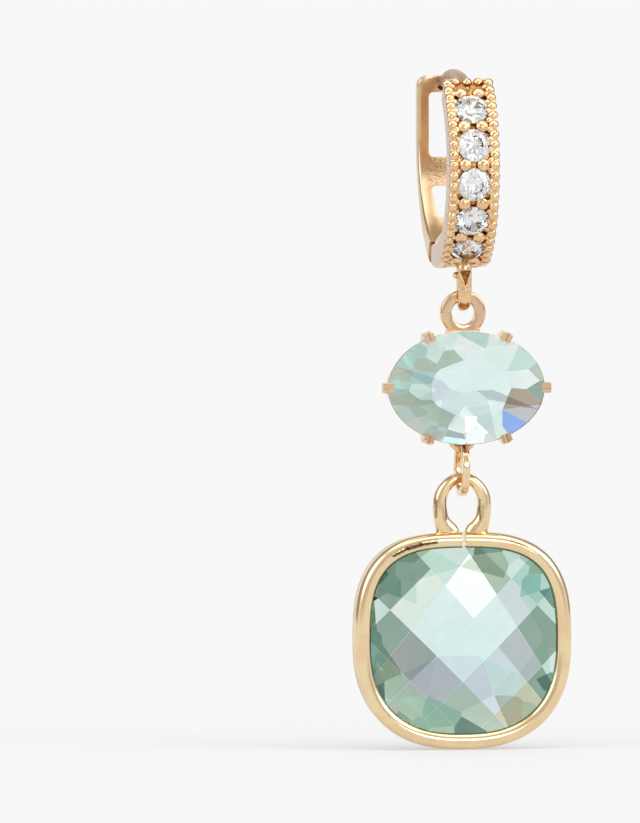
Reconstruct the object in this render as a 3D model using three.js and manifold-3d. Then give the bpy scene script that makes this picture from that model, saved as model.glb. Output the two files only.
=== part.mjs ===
// A hinged huggie earring: a hoop set with small clear stones, and two drops that hang from it,
// an oval stone in a claw setting and a cushion stone in a bezel frame.
// Millimetres, +Z up. The front of the earring faces -Y and the hinge axis runs along X.
// The origin is the middle of the ear post, where the lobe sits.
import * as THREE from 'three';
import { mergeVertices } from 'three/addons/utils/BufferGeometryUtils.js';
import { ConvexGeometry } from 'three/addons/geometries/ConvexGeometry.js';
import Module from 'manifold-3d';

const wasm = await Module();
wasm.setup();

// ---------------------------------------------------------------- driving dimensions
// All heights and depths below are measured from the hoop's own centre line.

const SEAT = { y: 0.5, z: 7.58 }; // middle of the post

const ARC = {
  centreZ: -0.4, // centre of the front arm's curve
  middle: 8.45, // radius to the middle of the band's thickness
  topAngle: 54, // degrees above the front of the hoop
  footAngle: -62, // where the curve starts to flatten towards the hinge
};

const BAND = {
  halfWidth: 2.2,
  inner: -1.12, // inner face, from the middle of the thickness
  ground: 0.68, // sunken ground that the stones are set in
  rail: 0.92, // side rails that carry the milgrain
  railInner: 1.72, // half width between the rails
  edge: 0.25, // softened inner edges
};

const PAVE = {
  count: 5,
  firstAngle: 33.6,
  pitch: 21.4,
  radius: 1.475,
  girdle: 0.78, // girdle height above the middle of the band
  seatGap: 0.05,
  backHole: 0.5,
};

const GRAIN = { radius: 0.47, halfSpacing: 0.9, height: 0.66 };
const MILGRAIN = { radius: 0.4, pitch: 5, topAngle: 51, footAngle: -63, height: 0.8, inset: 0.3 };
const TOP_BUMPS = { count: 4, spacing: 1.05, radius: 0.48, angle: 52.6, height: 0.6 };

const HINGE = {
  y: 0.2,
  z: -8.3,
  cheekRadius: 1.1,
  slotRadius: 1.2,
  slotHalfWidth: 0.97,
  tongueRadius: 1.05,
  tongueHalfWidth: 0.86,
  shoulderRadius: 1.22,
  pinRadius: 0.42,
  pinHole: 0.5,
  pinHalfLength: 1.65,
  pinHoleHalfLength: 1.75,
};

const POST = { radius: 0.47, socketRadius: 0.56, catchRadius: 0.62, catchReach: 0.5 };

const REAR = {
  halfWidth: 2.3,
  edge: 0.32,
  topZ: 7.4,
  cornerRadius: 0.9,
  upperWindow: { low: 0.2, high: 5.95, halfWidth: 1.3, corner: 0.5 },
  lowerWindow: { low: -5.1, high: -2.3, halfWidthLow: 1.08, halfWidthHigh: 1.25, corner: 0.45 },
};

const BAIL = { y: -3.0, halfDepth: 1.2, topZ: -8.2, bottomZ: -12.78, halfThick: 0.36, halfWide: 0.6 };

const OVAL = {
  y: -5.2, // girdle plane
  z: -19.9,
  halfWidth: 6.9,
  halfHeight: 4.97,
  girdle: 0.14, // half thickness of the girdle
  pavilion: 3.3,
  keel: 1.3, // half length of the keel line at the back
};

const COLLET = {
  rimGap: 0.12, // rim behind the girdle plane
  seatDepth: 0.78,
  depth: 3.0,
  rimOut: 0.04,
  wall: 0.62,
  backHalfWidth: 4.75,
  backHalfHeight: 3.15,
};

const CLAW = { size: 0.92, thick: 0.8, edge: 0.1, clear: 0.1, reach: 0.72, hook: 0.34, turn: 58.5 };
const TOP_EYE = { y: -3.0, z: -13.25, outer: 2.0, hole: 1.02, thick: 0.95, footHalfWidth: 1.5 };
const LOW_EYE = { y: -2.7, z: -24.25, middle: 0.99, wire: 0.29 };
const RING = { y: -2.7, z: -26.85, outer: 2.55, inner: 1.99, halfWide: 0.33, edge: 0.13 };

const BEZEL = {
  z: -42.05,
  halfWidth: 9.7,
  halfHeight: 9.6,
  squareTop: 2.85, // how square the outline is, above and below the middle
  squareFoot: 2.42,
  front: -4.1, // foremost line of the frame's face
  depth: 2.75,
  faceWidth: 1.44,
  lip: 0.55,
  wall: 1.05,
  slitHalfWidth: 0.18,
};

const LOOP = { y: -2.7, topZ: -27.88, topWire: 0.44, sideWire: 0.62, halfWidth: 1.93 };

const CUSHION = {
  inset: 1.2, // edge of the stone, in from the frame's outline
  girdleY: -3.1,
  girdle: 0.12,
  crown: 1.75,
  domeRadius: 9.9,
  facet: 2.5, // half diagonal of a crown facet
  gridReach: 0.9, // outermost crown corners, as a share of the outline
  gridEdge: 0.84, // how far out those corners may lie
  edgeSlope: 0.75,
  pavilion: 3.1,
};

const GOLD = { color: 0xe2b07a, metalness: 1.0, roughness: 0.18 };
const AQUA = { color: 0xa9e0d0, metalness: 0.0, roughness: 0.03 };
const CLEAR = { color: 0xf2f5f7, metalness: 0.0, roughness: 0.02 };

const DEG = Math.PI / 180;
const X_AXIS = new THREE.Vector3(1, 0, 0);
const Y_AXIS = new THREE.Vector3(0, 1, 0);
const Z_AXIS = new THREE.Vector3(0, 0, 1);

// ---------------------------------------------------------------- solids

/** Keeps only positions, with shared corners merged. */
function welded(geometry) {
  const bare = geometry.clone();
  bare.deleteAttribute('normal');
  bare.deleteAttribute('uv');
  return mergeVertices(bare, 1e-5);
}

/** Turns a closed geometry into a solid that can be joined and cut. */
function solid(geometry) {
  const bare = welded(geometry);
  const vertProperties = new Float32Array(bare.attributes.position.array);
  const triVerts = new Uint32Array(bare.index.array);
  return new wasm.Manifold(new wasm.Mesh({ numProp: 3, vertProperties, triVerts }));
}

/** Turns a solid back into a geometry. */
function geometryOf(body) {
  const mesh = body.getMesh();
  const geometry = new THREE.BufferGeometry();
  geometry.setAttribute('position', new THREE.BufferAttribute(mesh.vertProperties, 3));
  geometry.setIndex(new THREE.BufferAttribute(mesh.triVerts, 1));
  return geometry;
}

/** Joins several solids into one. */
function joined(bodies) {
  return bodies.reduce((whole, body) => whole.add(body));
}

/** Cuts each of the tools out of a solid. */
function cut(body, tools) {
  return tools.reduce((rest, tool) => rest.subtract(tool), body);
}

/** Six times the signed volume of an indexed geometry. */
function signedVolume(positions, index) {
  const [a, b, c] = [new THREE.Vector3(), new THREE.Vector3(), new THREE.Vector3()];
  let sum = 0;
  for (let i = 0; i < index.length; i += 3) {
    a.fromArray(positions, 3 * index[i]);
    b.fromArray(positions, 3 * index[i + 1]);
    c.fromArray(positions, 3 * index[i + 2]);
    sum += a.dot(b.cross(c));
  }
  return sum;
}

/** Triangles that fill a section, wound the way its points run. */
function capFaces(section) {
  const turn = Math.sign(THREE.ShapeUtils.area(section));
  return THREE.ShapeUtils.triangulateShape(section, []).map(([a, b, c]) => {
    const same = Math.sign(THREE.ShapeUtils.area([section[a], section[b], section[c]])) === turn;
    return same ? [a, b, c] : [a, c, b];
  });
}

/** Skins a row of rings of points. With caps for its two ends the row is open, else it joins up. */
function skin(rings, caps = null) {
  const size = rings[0].length;
  const rows = caps ? rings.length - 1 : rings.length;
  const index = [];
  for (let i = 0; i < rows; i += 1) {
    const here = i * size;
    const next = ((i + 1) % rings.length) * size;
    for (let j = 0; j < size; j += 1) {
      const k = (j + 1) % size;
      index.push(here + j, next + j, here + k, here + k, next + j, next + k);
    }
  }
  if (caps) {
    const last = rows * size;
    for (const [a, b, c] of caps[0]) index.push(a, b, c);
    for (const [a, b, c] of caps[1]) index.push(last + a, last + c, last + b);
  }
  const positions = rings.flat().flatMap((point) => point.toArray());
  if (signedVolume(positions, index) < 0) index.reverse();
  const geometry = new THREE.BufferGeometry();
  geometry.setAttribute('position', new THREE.Float32BufferAttribute(positions, 3));
  geometry.setIndex(index);
  return geometry;
}

/** Skins a row of stations, each a 2-D section in the across and out directions of its origin. */
function loft(stations, closedRow = false) {
  const rings = stations.map(({ origin, across, out, section }) => section.map(
    (point) => origin.clone().addScaledVector(across, point.x).addScaledVector(out, point.y),
  ));
  const caps = closedRow ? null : [stations[0], stations.at(-1)].map(({ section }) => capFaces(section));
  return skin(rings, caps);
}

/** Direction that a row of points runs in, at one of them. */
function directionAt(points, i) {
  const before = points[Math.max(i - 1, 0)];
  const after = points[Math.min(i + 1, points.length - 1)];
  return after.clone().sub(before).normalize();
}

/** A rectangle with its corners taken off. */
function softBox(halfWide, halfTall, edge) {
  const [w, t, e] = [halfWide, halfTall, edge];
  return [
    [-w, -t + e], [-w, t - e], [-w + e, t], [w - e, t],
    [w, t - e], [w, -t + e], [w - e, -t], [-w + e, -t],
  ].map(([x, y]) => new THREE.Vector2(x, y));
}

/** An ellipse of a few sides. */
function ellipse(halfWide, halfTall, sides) {
  return Array.from({ length: sides }, (_, i) => {
    const turn = (2 * Math.PI * (i + 0.5)) / sides;
    return new THREE.Vector2(halfWide * Math.cos(turn), halfTall * Math.sin(turn));
  });
}

/** A cylinder from one point to another. */
function rod(from, to, radius, sides = 16) {
  const axis = to.clone().sub(from);
  const geometry = new THREE.CylinderGeometry(radius, radius, axis.length(), sides);
  geometry.applyQuaternion(new THREE.Quaternion().setFromUnitVectors(Y_AXIS, axis.clone().normalize()));
  geometry.translate(...from.clone().add(to).multiplyScalar(0.5).toArray());
  return geometry;
}

/** A block between two opposite corners. */
function block(low, high) {
  const size = high.clone().sub(low);
  const geometry = new THREE.BoxGeometry(size.x, size.y, size.z);
  geometry.translate(...low.clone().add(high).multiplyScalar(0.5).toArray());
  return geometry;
}

/** A small bead with its pole along a direction. */
function bead(at, pole, radius, around = 6, rings = 4) {
  const geometry = new THREE.SphereGeometry(radius, around, rings);
  geometry.applyQuaternion(new THREE.Quaternion().setFromUnitVectors(Y_AXIS, pole));
  geometry.translate(at.x, at.y, at.z);
  return geometry;
}

/** A flat shape drawn in X and Z, cut from thick stock between two depths. */
function plate(shape, fromY, toY, segments = 8) {
  const geometry = new THREE.ExtrudeGeometry(shape, {
    depth: toY - fromY, bevelEnabled: false, curveSegments: segments,
  });
  geometry.rotateX(Math.PI / 2); // shape's Y becomes Z, and its depth runs towards -Y
  geometry.translate(0, toY, 0);
  return geometry;
}

/** A tube along open points in the YZ plane, with a round wire. */
function wireAlong(points, radius, steps, sides = 10) {
  const section = new THREE.Shape(ellipse(radius, radius, sides));
  return new THREE.ExtrudeGeometry(section, {
    steps, bevelEnabled: false, extrudePath: new THREE.CatmullRomCurve3(points),
  });
}

// ---------------------------------------------------------------- hoop, front arm

/** Outward direction at an angle above the front of the hoop. */
function outward(degrees) {
  return new THREE.Vector3(0, -Math.cos(degrees * DEG), Math.sin(degrees * DEG));
}

/** A point of the band: across it, at an angle, at a height over the middle of its thickness. */
function bandPoint(x, degrees, height) {
  const at = outward(degrees).multiplyScalar(ARC.middle + height);
  return at.add(new THREE.Vector3(x, 0, ARC.centreZ));
}

const HINGE_AT = new THREE.Vector3(0, HINGE.y, HINGE.z);

/** A cylinder about the hinge's axis, reaching as far to the left as to the right. */
function hingeRod(halfLength, radius, sides = 16) {
  return rod(HINGE_AT.clone().setX(-halfLength), HINGE_AT.clone().setX(halfLength), radius, sides);
}

/** Line that the front arm follows, from its top round to the hinge. */
function frontLine() {
  const points = [];
  const steps = 20;
  for (let i = 0; i <= steps; i += 1) {
    points.push(bandPoint(0, THREE.MathUtils.lerp(ARC.topAngle, ARC.footAngle, i / steps), 0));
  }
  points.push(new THREE.Vector3(0, -2.2, HINGE.z - 0.02));
  points.push(new THREE.Vector3(0, -1.0, HINGE.z - 0.02));
  points.push(HINGE_AT);
  return new THREE.CatmullRomCurve3(points);
}

/** Stations along a line in the YZ plane, each with its section from a function of the share run. */
function stationsAlong(line, steps, sectionAt) {
  return Array.from({ length: steps + 1 }, (_, i) => {
    const share = i / steps;
    const along = line.getTangentAt(share);
    const out = new THREE.Vector3(0, along.z, -along.y);
    return { origin: line.getPointAt(share), across: X_AXIS, out, section: sectionAt(share) };
  });
}

/** Section of the band: rails at both sides of the ground, which rises to a smooth lip at the foot. */
function bandSection(ground) {
  const { halfWidth: w, inner, rail, railInner: r, edge: e } = BAND;
  return [
    [-w + e, inner], [-w, inner + e], [-w, rail], [-r, rail], [-r + 0.12, ground],
    [r - 0.12, ground], [r, rail], [w, rail], [w, inner + e], [w - e, inner],
  ].map(([x, y]) => new THREE.Vector2(x, y));
}

/** The plain band, before its stones are set. */
function plainBand() {
  const lipShare = 0.865;
  const ground = (share) => THREE.MathUtils.lerp(
    BAND.ground, BAND.rail - 0.04, THREE.MathUtils.smoothstep(share, lipShare - 0.03, lipShare),
  );
  return loft(stationsAlong(frontLine(), 27, (share) => bandSection(ground(share))));
}

/** Angle of a stone of the band. */
function stoneAngle(i) {
  return PAVE.firstAngle - i * PAVE.pitch;
}

/** The hollow that one stone sits in, open at the back of the band. */
function stoneSeat(i) {
  const mouth = PAVE.radius + PAVE.seatGap;
  const profile = [
    [0, 1.2], [mouth, 1.2], [mouth, -0.16], [PAVE.backHole, -1.28], [PAVE.backHole, -2.6], [0, -2.6],
  ].map(([x, y]) => new THREE.Vector2(x, y)).reverse();
  const geometry = new THREE.LatheGeometry(profile, 14);
  const angle = stoneAngle(i);
  geometry.applyQuaternion(new THREE.Quaternion().setFromUnitVectors(Y_AXIS, outward(angle)));
  const at = bandPoint(0, angle, PAVE.girdle);
  geometry.translate(at.x, at.y, at.z);
  return geometry;
}

/** Pairs of grains that hold the stones, one pair above, between and below them. */
function grains() {
  const beads = [];
  for (let row = 0; row <= PAVE.count; row += 1) {
    const angle = stoneAngle(row - 0.5);
    for (const x of [-GRAIN.halfSpacing, GRAIN.halfSpacing]) {
      beads.push(bead(bandPoint(x, angle, GRAIN.height), outward(angle), GRAIN.radius, 8));
    }
  }
  return beads;
}

/** Rows of small beads along both rails, and the larger bumps across the top end. */
function milgrain() {
  const beads = [];
  const onRail = BAND.halfWidth - MILGRAIN.inset;
  for (let angle = MILGRAIN.topAngle; angle >= MILGRAIN.footAngle; angle -= MILGRAIN.pitch) {
    for (const x of [-onRail, onRail]) {
      beads.push(bead(bandPoint(x, angle, MILGRAIN.height), outward(angle), MILGRAIN.radius, 6, 3));
    }
  }
  const { count, spacing, radius, angle, height } = TOP_BUMPS;
  for (let i = 0; i < count; i += 1) {
    const across = (i - (count - 1) / 2) * spacing;
    beads.push(bead(bandPoint(across, angle, height), outward(angle), radius));
  }
  return beads;
}

/** Fixed bail under the band: a long loop of oval wire, edge on to the front. */
function bail() {
  const radius = BAIL.halfDepth;
  const top = new THREE.Vector3(0, BAIL.y, BAIL.topZ - radius);
  const foot = new THREE.Vector3(0, BAIL.y, BAIL.bottomZ + radius);
  const turns = 8;
  const stations = [];
  for (const [centre, start] of [[top, 0], [foot, 180]]) {
    for (let i = 0; i <= turns; i += 1) {
      const turn = (start + (180 * i) / turns) * DEG;
      const out = new THREE.Vector3(0, Math.cos(turn), Math.sin(turn));
      const origin = centre.clone().addScaledVector(out, radius);
      stations.push({ origin, across: X_AXIS, out, section: ellipse(BAIL.halfWide, BAIL.halfThick, 10) });
    }
  }
  return loft(stations, true);
}

/** Room between the hinge cheeks for the tongue, and the blind holes for the pin. */
function hingeCuts() {
  return [
    hingeRod(HINGE.slotHalfWidth, HINGE.slotRadius, 24),
    hingeRod(HINGE.pinHoleHalfLength, HINGE.pinHole),
  ];
}

/** Blind socket for the post, in the top end of the arm. */
function postSocket() {
  const [start, exit] = postPoints();
  const along = exit.clone().sub(start).normalize();
  const bottom = start.clone().addScaledVector(along, -0.15);
  return rod(bottom, exit.clone().addScaledVector(along, 0.6), POST.socketRadius, 12);
}

/** The front arm with its bail, seats, grains, milgrain and hinge cheeks. */
function hoopFront() {
  const cheeks = hingeRod(BAND.halfWidth, HINGE.cheekRadius, 24);
  const body = joined([plainBand(), cheeks, bail()].map(solid));
  const seats = Array.from({ length: PAVE.count }, (_, i) => stoneSeat(i));
  const beaded = joined([body, ...[...grains(), ...milgrain()].map(solid)]);
  return geometryOf(cut(beaded, [...seats, ...hingeCuts(), postSocket()].map(solid)));
}

// ---------------------------------------------------------------- post, pin and rear arm

/** Points of the ear post, from its socket over the lobe to the catch. */
function postPoints() {
  return [
    [-5.75, 5.7], [-4.97, 6.44], [-3.3, 7.12], [-0.8, 7.5],
    [2.3, 7.6], [4.9, 7.38], [6.7, 6.98], [7.55, 6.6],
  ].map(([y, z]) => new THREE.Vector3(0, y, z));
}

/** The arched wire that goes through the lobe. */
function earPost() {
  return wireAlong(postPoints(), POST.radius, 14);
}

/** The pin hidden in the hinge. */
function hingePin() {
  return hingeRod(HINGE.pinHalfLength, HINGE.pinRadius);
}

// Middle line and half thickness of the rear arm, from the hinge up to its top.
const REAR_LINE = [
  { y: HINGE.y, z: HINGE.z, half: 1.05 },
  { y: 1.5, z: -7.72, half: 1.02 },
  { y: 2.8, z: -6.98, half: 0.94 },
  { y: 4.4, z: -5.72, half: 0.84 },
  { y: 5.55, z: -4.4, half: 0.76 },
  { y: 6.45, z: -3.0, half: 0.7 },
  { y: 7.4, z: -1.1, half: 0.66 },
  { y: 7.88, z: 1.0, half: 0.65 },
  { y: 7.92, z: 3.4, half: 0.65 },
  { y: 7.92, z: REAR.topZ, half: 0.65 },
];

/** Half width of the rear arm, rounded off at its top corners. */
function rearHalfWidth(z) {
  const intoCorner = Math.max(0, z - (REAR.topZ - REAR.cornerRadius)) / REAR.cornerRadius;
  return REAR.halfWidth - REAR.cornerRadius * (1 - Math.sqrt(Math.max(0, 1 - 0.97 * intoCorner ** 2)));
}

/** The rear arm as a plain bent bar. */
function rearBar() {
  const line = new THREE.CatmullRomCurve3(REAR_LINE.map(({ y, z }) => new THREE.Vector3(0, y, z)));
  const halves = new THREE.CatmullRomCurve3(REAR_LINE.map(({ half }, i) => new THREE.Vector3(i, half, 0)));
  const shares = [];
  for (let i = 0; i <= 22; i += 1) shares.push(i / 26);
  shares.push(0.9, 0.945, 0.965, 0.982, 0.993, 1);
  const stations = shares.map((share) => {
    const along = line.getTangentAt(share);
    const origin = line.getPointAt(share);
    const half = halves.getPoint(line.getUtoTmapping(share)).y;
    const out = new THREE.Vector3(0, along.z, -along.y);
    return { origin, across: X_AXIS, out, section: softBox(rearHalfWidth(origin.z), half, REAR.edge) };
  });
  return loft(stations);
}

/** Outline of a window: straight sides that may taper, with rounded corners. */
function windowShape({ low, high, halfWidthLow, halfWidthHigh, corner }) {
  const shape = new THREE.Shape();
  shape.moveTo(-halfWidthLow + corner, low);
  shape.lineTo(halfWidthLow - corner, low);
  shape.quadraticCurveTo(halfWidthLow, low, halfWidthLow, low + corner);
  shape.lineTo(halfWidthHigh, high - corner);
  shape.quadraticCurveTo(halfWidthHigh, high, halfWidthHigh - corner, high);
  shape.lineTo(-halfWidthHigh + corner, high);
  shape.quadraticCurveTo(-halfWidthHigh, high, -halfWidthHigh, high - corner);
  shape.lineTo(-halfWidthLow, low + corner);
  shape.quadraticCurveTo(-halfWidthLow, low, -halfWidthLow + corner, low);
  return shape;
}

/** The two windows through the rear arm. */
function rearWindows() {
  const { halfWidth, ...upper } = REAR.upperWindow;
  return [{ ...upper, halfWidthLow: halfWidth, halfWidthHigh: halfWidth }, REAR.lowerWindow]
    .map((window) => plate(windowShape(window), HINGE.y + 1.5, REAR_LINE.at(-1).y + 2, 5));
}

/** Hollow in the inner face of the rear arm's top that the post's tip snaps into. */
function postCatch() {
  const [before, tip] = postPoints().slice(-2);
  const along = tip.clone().sub(before).normalize();
  const from = tip.clone().addScaledVector(along, -1.2);
  return rod(from, tip.clone().addScaledVector(along, POST.catchReach - 0.2), POST.catchRadius, 12);
}

/** Rear arm: two rails, their cross bars, the tongue of the hinge and the catch. */
function hoopBack() {
  const { tongueHalfWidth: half, shoulderRadius, tongueRadius, pinHole } = HINGE;
  const past = BAND.halfWidth + 1;
  const tongue = solid(hingeRod(half, tongueRadius, 24));
  const shoulders = cut(solid(hingeRod(past, shoulderRadius, 24)), [solid(block(
    new THREE.Vector3(-half, HINGE.y - past, HINGE.z - past),
    new THREE.Vector3(half, HINGE.y + past, HINGE.z + past),
  ))]);
  const whole = joined([cut(solid(rearBar()), [shoulders]), tongue]);
  return geometryOf(cut(whole, [...rearWindows(), hingeRod(past, pinHole), postCatch()].map(solid)));
}

// ---------------------------------------------------------------- clear stones

/** Rings of points of a round brilliant that faces +Z: table, crown corners, girdle and culet. */
function brilliantPoints(radius) {
  const ring = (count, share, height, turn) => Array.from({ length: count }, (_, i) => {
    const angle = (2 * Math.PI * (i + turn)) / count;
    return new THREE.Vector3(share * Math.cos(angle), share * Math.sin(angle), height).multiplyScalar(radius);
  });
  return [
    ...ring(8, 0.55, 0.34, 0),
    ...ring(8, 0.77, 0.225, 0.5),
    ...ring(16, 1, 0.04, 0),
    ...ring(16, 1, -0.04, 0),
    ...ring(8, 0.3, -0.62, 0.5),
    new THREE.Vector3(0, 0, -0.86 * radius),
  ];
}

/** One small clear stone, at its place in the band. */
function paveStone(i) {
  const geometry = new ConvexGeometry(brilliantPoints(PAVE.radius));
  const angle = stoneAngle(i);
  const turn = new THREE.Quaternion().setFromUnitVectors(Z_AXIS, outward(angle));
  geometry.applyQuaternion(turn);
  const at = bandPoint(0, angle, PAVE.girdle);
  geometry.translate(at.x, at.y, at.z);
  return geometry;
}

// ---------------------------------------------------------------- oval drop

/** A point of the oval's outline, or of a larger or smaller copy of it, at a depth. */
function ovalPoint(angle, y, halfWidth = OVAL.halfWidth, halfHeight = OVAL.halfHeight) {
  return new THREE.Vector3(halfWidth * Math.cos(angle), y, OVAL.z + halfHeight * Math.sin(angle));
}

/** Points of one level of the oval stone: a ring, as shares of the girdle, at a depth behind it. */
function ovalRing(count, share, depth, turn) {
  return Array.from({ length: count }, (_, i) => {
    const angle = (2 * Math.PI * (i + turn)) / count;
    return ovalPoint(angle, OVAL.y + depth, share * OVAL.halfWidth, share * OVAL.halfHeight);
  });
}

/** Oval brilliant with a keel at the back. */
function ovalStone() {
  const keel = [-1, 1].map((side) => new THREE.Vector3(side * OVAL.keel, OVAL.y + OVAL.pavilion, OVAL.z));
  return new ConvexGeometry([
    ...ovalRing(8, 0.6, -1.28, 0.5),
    ...ovalRing(8, 0.74, -1.04, 0),
    ...ovalRing(24, 1, -OVAL.girdle, 0),
    ...ovalRing(24, 1, OVAL.girdle, 0),
    ...ovalRing(8, 0.66, 1.78, 0.5),
    ...keel,
  ]);
}

/** The open-backed cup: its rim follows the stone, and it narrows towards the back. */
function collet() {
  const around = 36;
  const front = OVAL.y + OVAL.girdle + COLLET.rimGap;
  const { rimOut, seatDepth, depth, wall, backHalfWidth, backHalfHeight } = COLLET;
  const corners = [
    { wide: OVAL.halfWidth + rimOut, high: OVAL.halfHeight + rimOut, y: front },
    { wide: backHalfWidth, high: backHalfHeight, y: front + depth },
    { wide: backHalfWidth - wall, high: backHalfHeight - wall, y: front + depth },
    { wide: OVAL.halfWidth - 1.2 * seatDepth, high: OVAL.halfHeight - 1.2 * seatDepth, y: front + seatDepth },
    { wide: OVAL.halfWidth - rimOut, high: OVAL.halfHeight - rimOut, y: front },
  ];
  const rings = Array.from({ length: around }, (_, i) => {
    const turn = (2 * Math.PI * (i + 0.5)) / around;
    return corners.map(({ wide, high, y }) => ovalPoint(turn, y, wide, high));
  });
  return skin(rings);
}

/** One claw: it leaves the cup's wall, stands up beside the girdle and leans over the crown. */
function claw(turn) {
  const foot = ovalPoint(turn, 0);
  const away = new THREE.Vector3(Math.cos(turn) / OVAL.halfWidth, 0, Math.sin(turn) / OVAL.halfHeight);
  away.normalize();
  const across = new THREE.Vector3().crossVectors(Y_AXIS, away);
  const standOff = CLAW.clear + CLAW.thick / 2;
  const bends = [
    { off: -1.45, y: OVAL.y + 2.3 },
    { off: -0.05, y: OVAL.y + 0.8 },
    { off: standOff, y: OVAL.y + 0.2 },
    { off: standOff - 0.05, y: OVAL.y - 0.4 },
    { off: standOff - CLAW.hook, y: OVAL.y - CLAW.reach },
  ];
  const points = bends.map(({ off, y }) => foot.clone().addScaledVector(away, off).setY(y));
  const section = softBox(CLAW.size / 2, CLAW.thick / 2, CLAW.edge);
  return loft(points.map((origin, i) => {
    const along = directionAt(points, i);
    return { origin, across, out: new THREE.Vector3().crossVectors(along, across), section };
  }));
}

/** Flat eye at the top of the oval setting, with the foot that joins it to the cup. */
function topEye() {
  const { y, z, outer, hole, thick, footHalfWidth: foot } = TOP_EYE;
  const shape = new THREE.Shape();
  const neck = -48 * DEG;
  shape.absarc(0, z, outer, neck, Math.PI - neck, false);
  shape.lineTo(-foot, z - 0.95 * outer);
  shape.lineTo(-foot - 0.1, z - 1.55 * outer);
  shape.lineTo(foot + 0.1, z - 1.55 * outer);
  shape.lineTo(foot, z - 0.95 * outer);
  const opening = new THREE.Path();
  opening.absarc(0, z, hole, 0, 2 * Math.PI, true);
  shape.holes.push(opening);
  return plate(shape, y - thick / 2, y + thick / 2, 12);
}

/** Round-wire eye under the cup, that the jump ring goes through. */
function lowEye() {
  const geometry = new THREE.TorusGeometry(LOW_EYE.middle, LOW_EYE.wire, 8, 20);
  geometry.rotateX(Math.PI / 2);
  geometry.translate(0, LOW_EYE.y, LOW_EYE.z);
  return geometry;
}

/** The oval setting: cup, claws and both eyes, soldered together. */
function ovalSetting() {
  const turns = [0, CLAW.turn, 180 - CLAW.turn, 180, 180 + CLAW.turn, 360 - CLAW.turn];
  const claws = turns.map((degrees) => claw(degrees * DEG));
  return geometryOf(joined([collet(), topEye(), lowEye(), ...claws].map(solid)));
}

// ---------------------------------------------------------------- jump ring

/** Flat-wire ring between the drops, edge on to the front. */
function jumpRing() {
  const middle = (RING.outer + RING.inner) / 2;
  const section = softBox((RING.outer - RING.inner) / 2, RING.halfWide, RING.edge)
    .map((point) => new THREE.Vector2(middle + point.x, point.y));
  const geometry = new THREE.LatheGeometry([...section, section[0]], 28);
  geometry.rotateZ(Math.PI / 2);
  geometry.translate(0, RING.y, RING.z);
  const closed = welded(geometry);
  if (signedVolume(closed.attributes.position.array, closed.index.array) < 0) closed.index.array.reverse();
  return closed;
}

// ---------------------------------------------------------------- cushion drop

/** A point of the frame's outline, a rounded square, moved in by a distance and set at a depth. */
function outlinePoint(turn, inset, y) {
  const [cos, sin] = [Math.cos(turn), Math.sin(turn)];
  const power = sin > 0 ? BEZEL.squareTop : BEZEL.squareFoot;
  const x = Math.sign(cos) * Math.abs(cos) ** (2 / power);
  const z = Math.sign(sin) * Math.abs(sin) ** (2 / power);
  const normal = new THREE.Vector3(
    (Math.sign(x) * Math.abs(x) ** (power - 1)) / BEZEL.halfWidth,
    0,
    (Math.sign(z) * Math.abs(z) ** (power - 1)) / BEZEL.halfHeight,
  ).normalize();
  const onOutline = new THREE.Vector3(x * BEZEL.halfWidth, y, BEZEL.z + z * BEZEL.halfHeight);
  return onOutline.addScaledVector(normal, -inset);
}

/** Ring of outline points at one inset and depth. */
function outlineRing(count, inset, y, start = 0) {
  return Array.from({ length: count }, (_, i) => outlinePoint((2 * Math.PI * (i + start)) / count, inset, y));
}

/** The bezel: a wire with a rounded face, and a lip that holds the stone. */
function bezel() {
  const { front, depth, faceWidth, lip, wall } = BEZEL;
  const corners = [
    { inset: 0, y: front + 0.85 },
    { inset: 0.2, y: front + 0.3 },
    { inset: 0.6, y: front + 0.03 },
    { inset: 1.0, y: front + 0.06 },
    { inset: faceWidth, y: front + 0.36 },
    { inset: faceWidth, y: front + 0.36 + lip / 2 },
    { inset: wall, y: front + 0.3 + lip },
    { inset: wall, y: front + depth },
    { inset: 0.3, y: front + depth },
    { inset: 0, y: front + depth - 0.3 },
  ];
  const around = 56;
  const rings = Array.from({ length: around }, (_, i) => {
    const turn = (2 * Math.PI * (i + 0.5)) / around;
    return corners.map(({ inset, y }) => outlinePoint(turn, inset, y));
  });
  return skin(rings);
}

/** Egg-shaped wire loop on top of the frame, whose feet widen and meet at the slit. */
function wireLoop() {
  const top = BEZEL.z + BEZEL.halfHeight;
  const side = [
    { x: 1.36, z: top - 0.65, wide: 1.15, deep: LOOP.sideWire },
    { x: 1.38, z: top - 0.1, wide: 1.12, deep: LOOP.sideWire },
    { x: 1.56, z: top + 0.22, wide: 0.94, deep: LOOP.sideWire },
    { x: 1.76, z: top + 0.6, wide: 0.74, deep: LOOP.sideWire },
    { x: 1.89, z: top + 1.2, wide: 0.62, deep: LOOP.sideWire },
    { x: LOOP.halfWidth, z: top + 2.1, wide: 0.6, deep: 0.6 },
    { x: 1.8, z: LOOP.topZ - 1.55, wide: 0.57, deep: 0.57 },
    { x: 1.42, z: LOOP.topZ - 0.8, wide: 0.53, deep: 0.54 },
    { x: 0.78, z: LOOP.topZ - 0.22, wide: 0.47, deep: 0.52 },
  ];
  const crown = { x: 0, z: LOOP.topZ, wide: LOOP.topWire, deep: 0.5 };
  const mirrored = side.map((knot) => ({ ...knot, x: -knot.x })).reverse();
  const knots = [...side, crown, ...mirrored];
  const points = knots.map(({ x, z }) => new THREE.Vector3(x, LOOP.y, z));
  return loft(knots.map(({ wide, deep }, i) => {
    const along = directionAt(points, i);
    const out = new THREE.Vector3().crossVectors(along, Y_AXIS);
    return { origin: points[i], across: Y_AXIS, out, section: ellipse(deep, wide, 10) };
  }));
}

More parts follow.
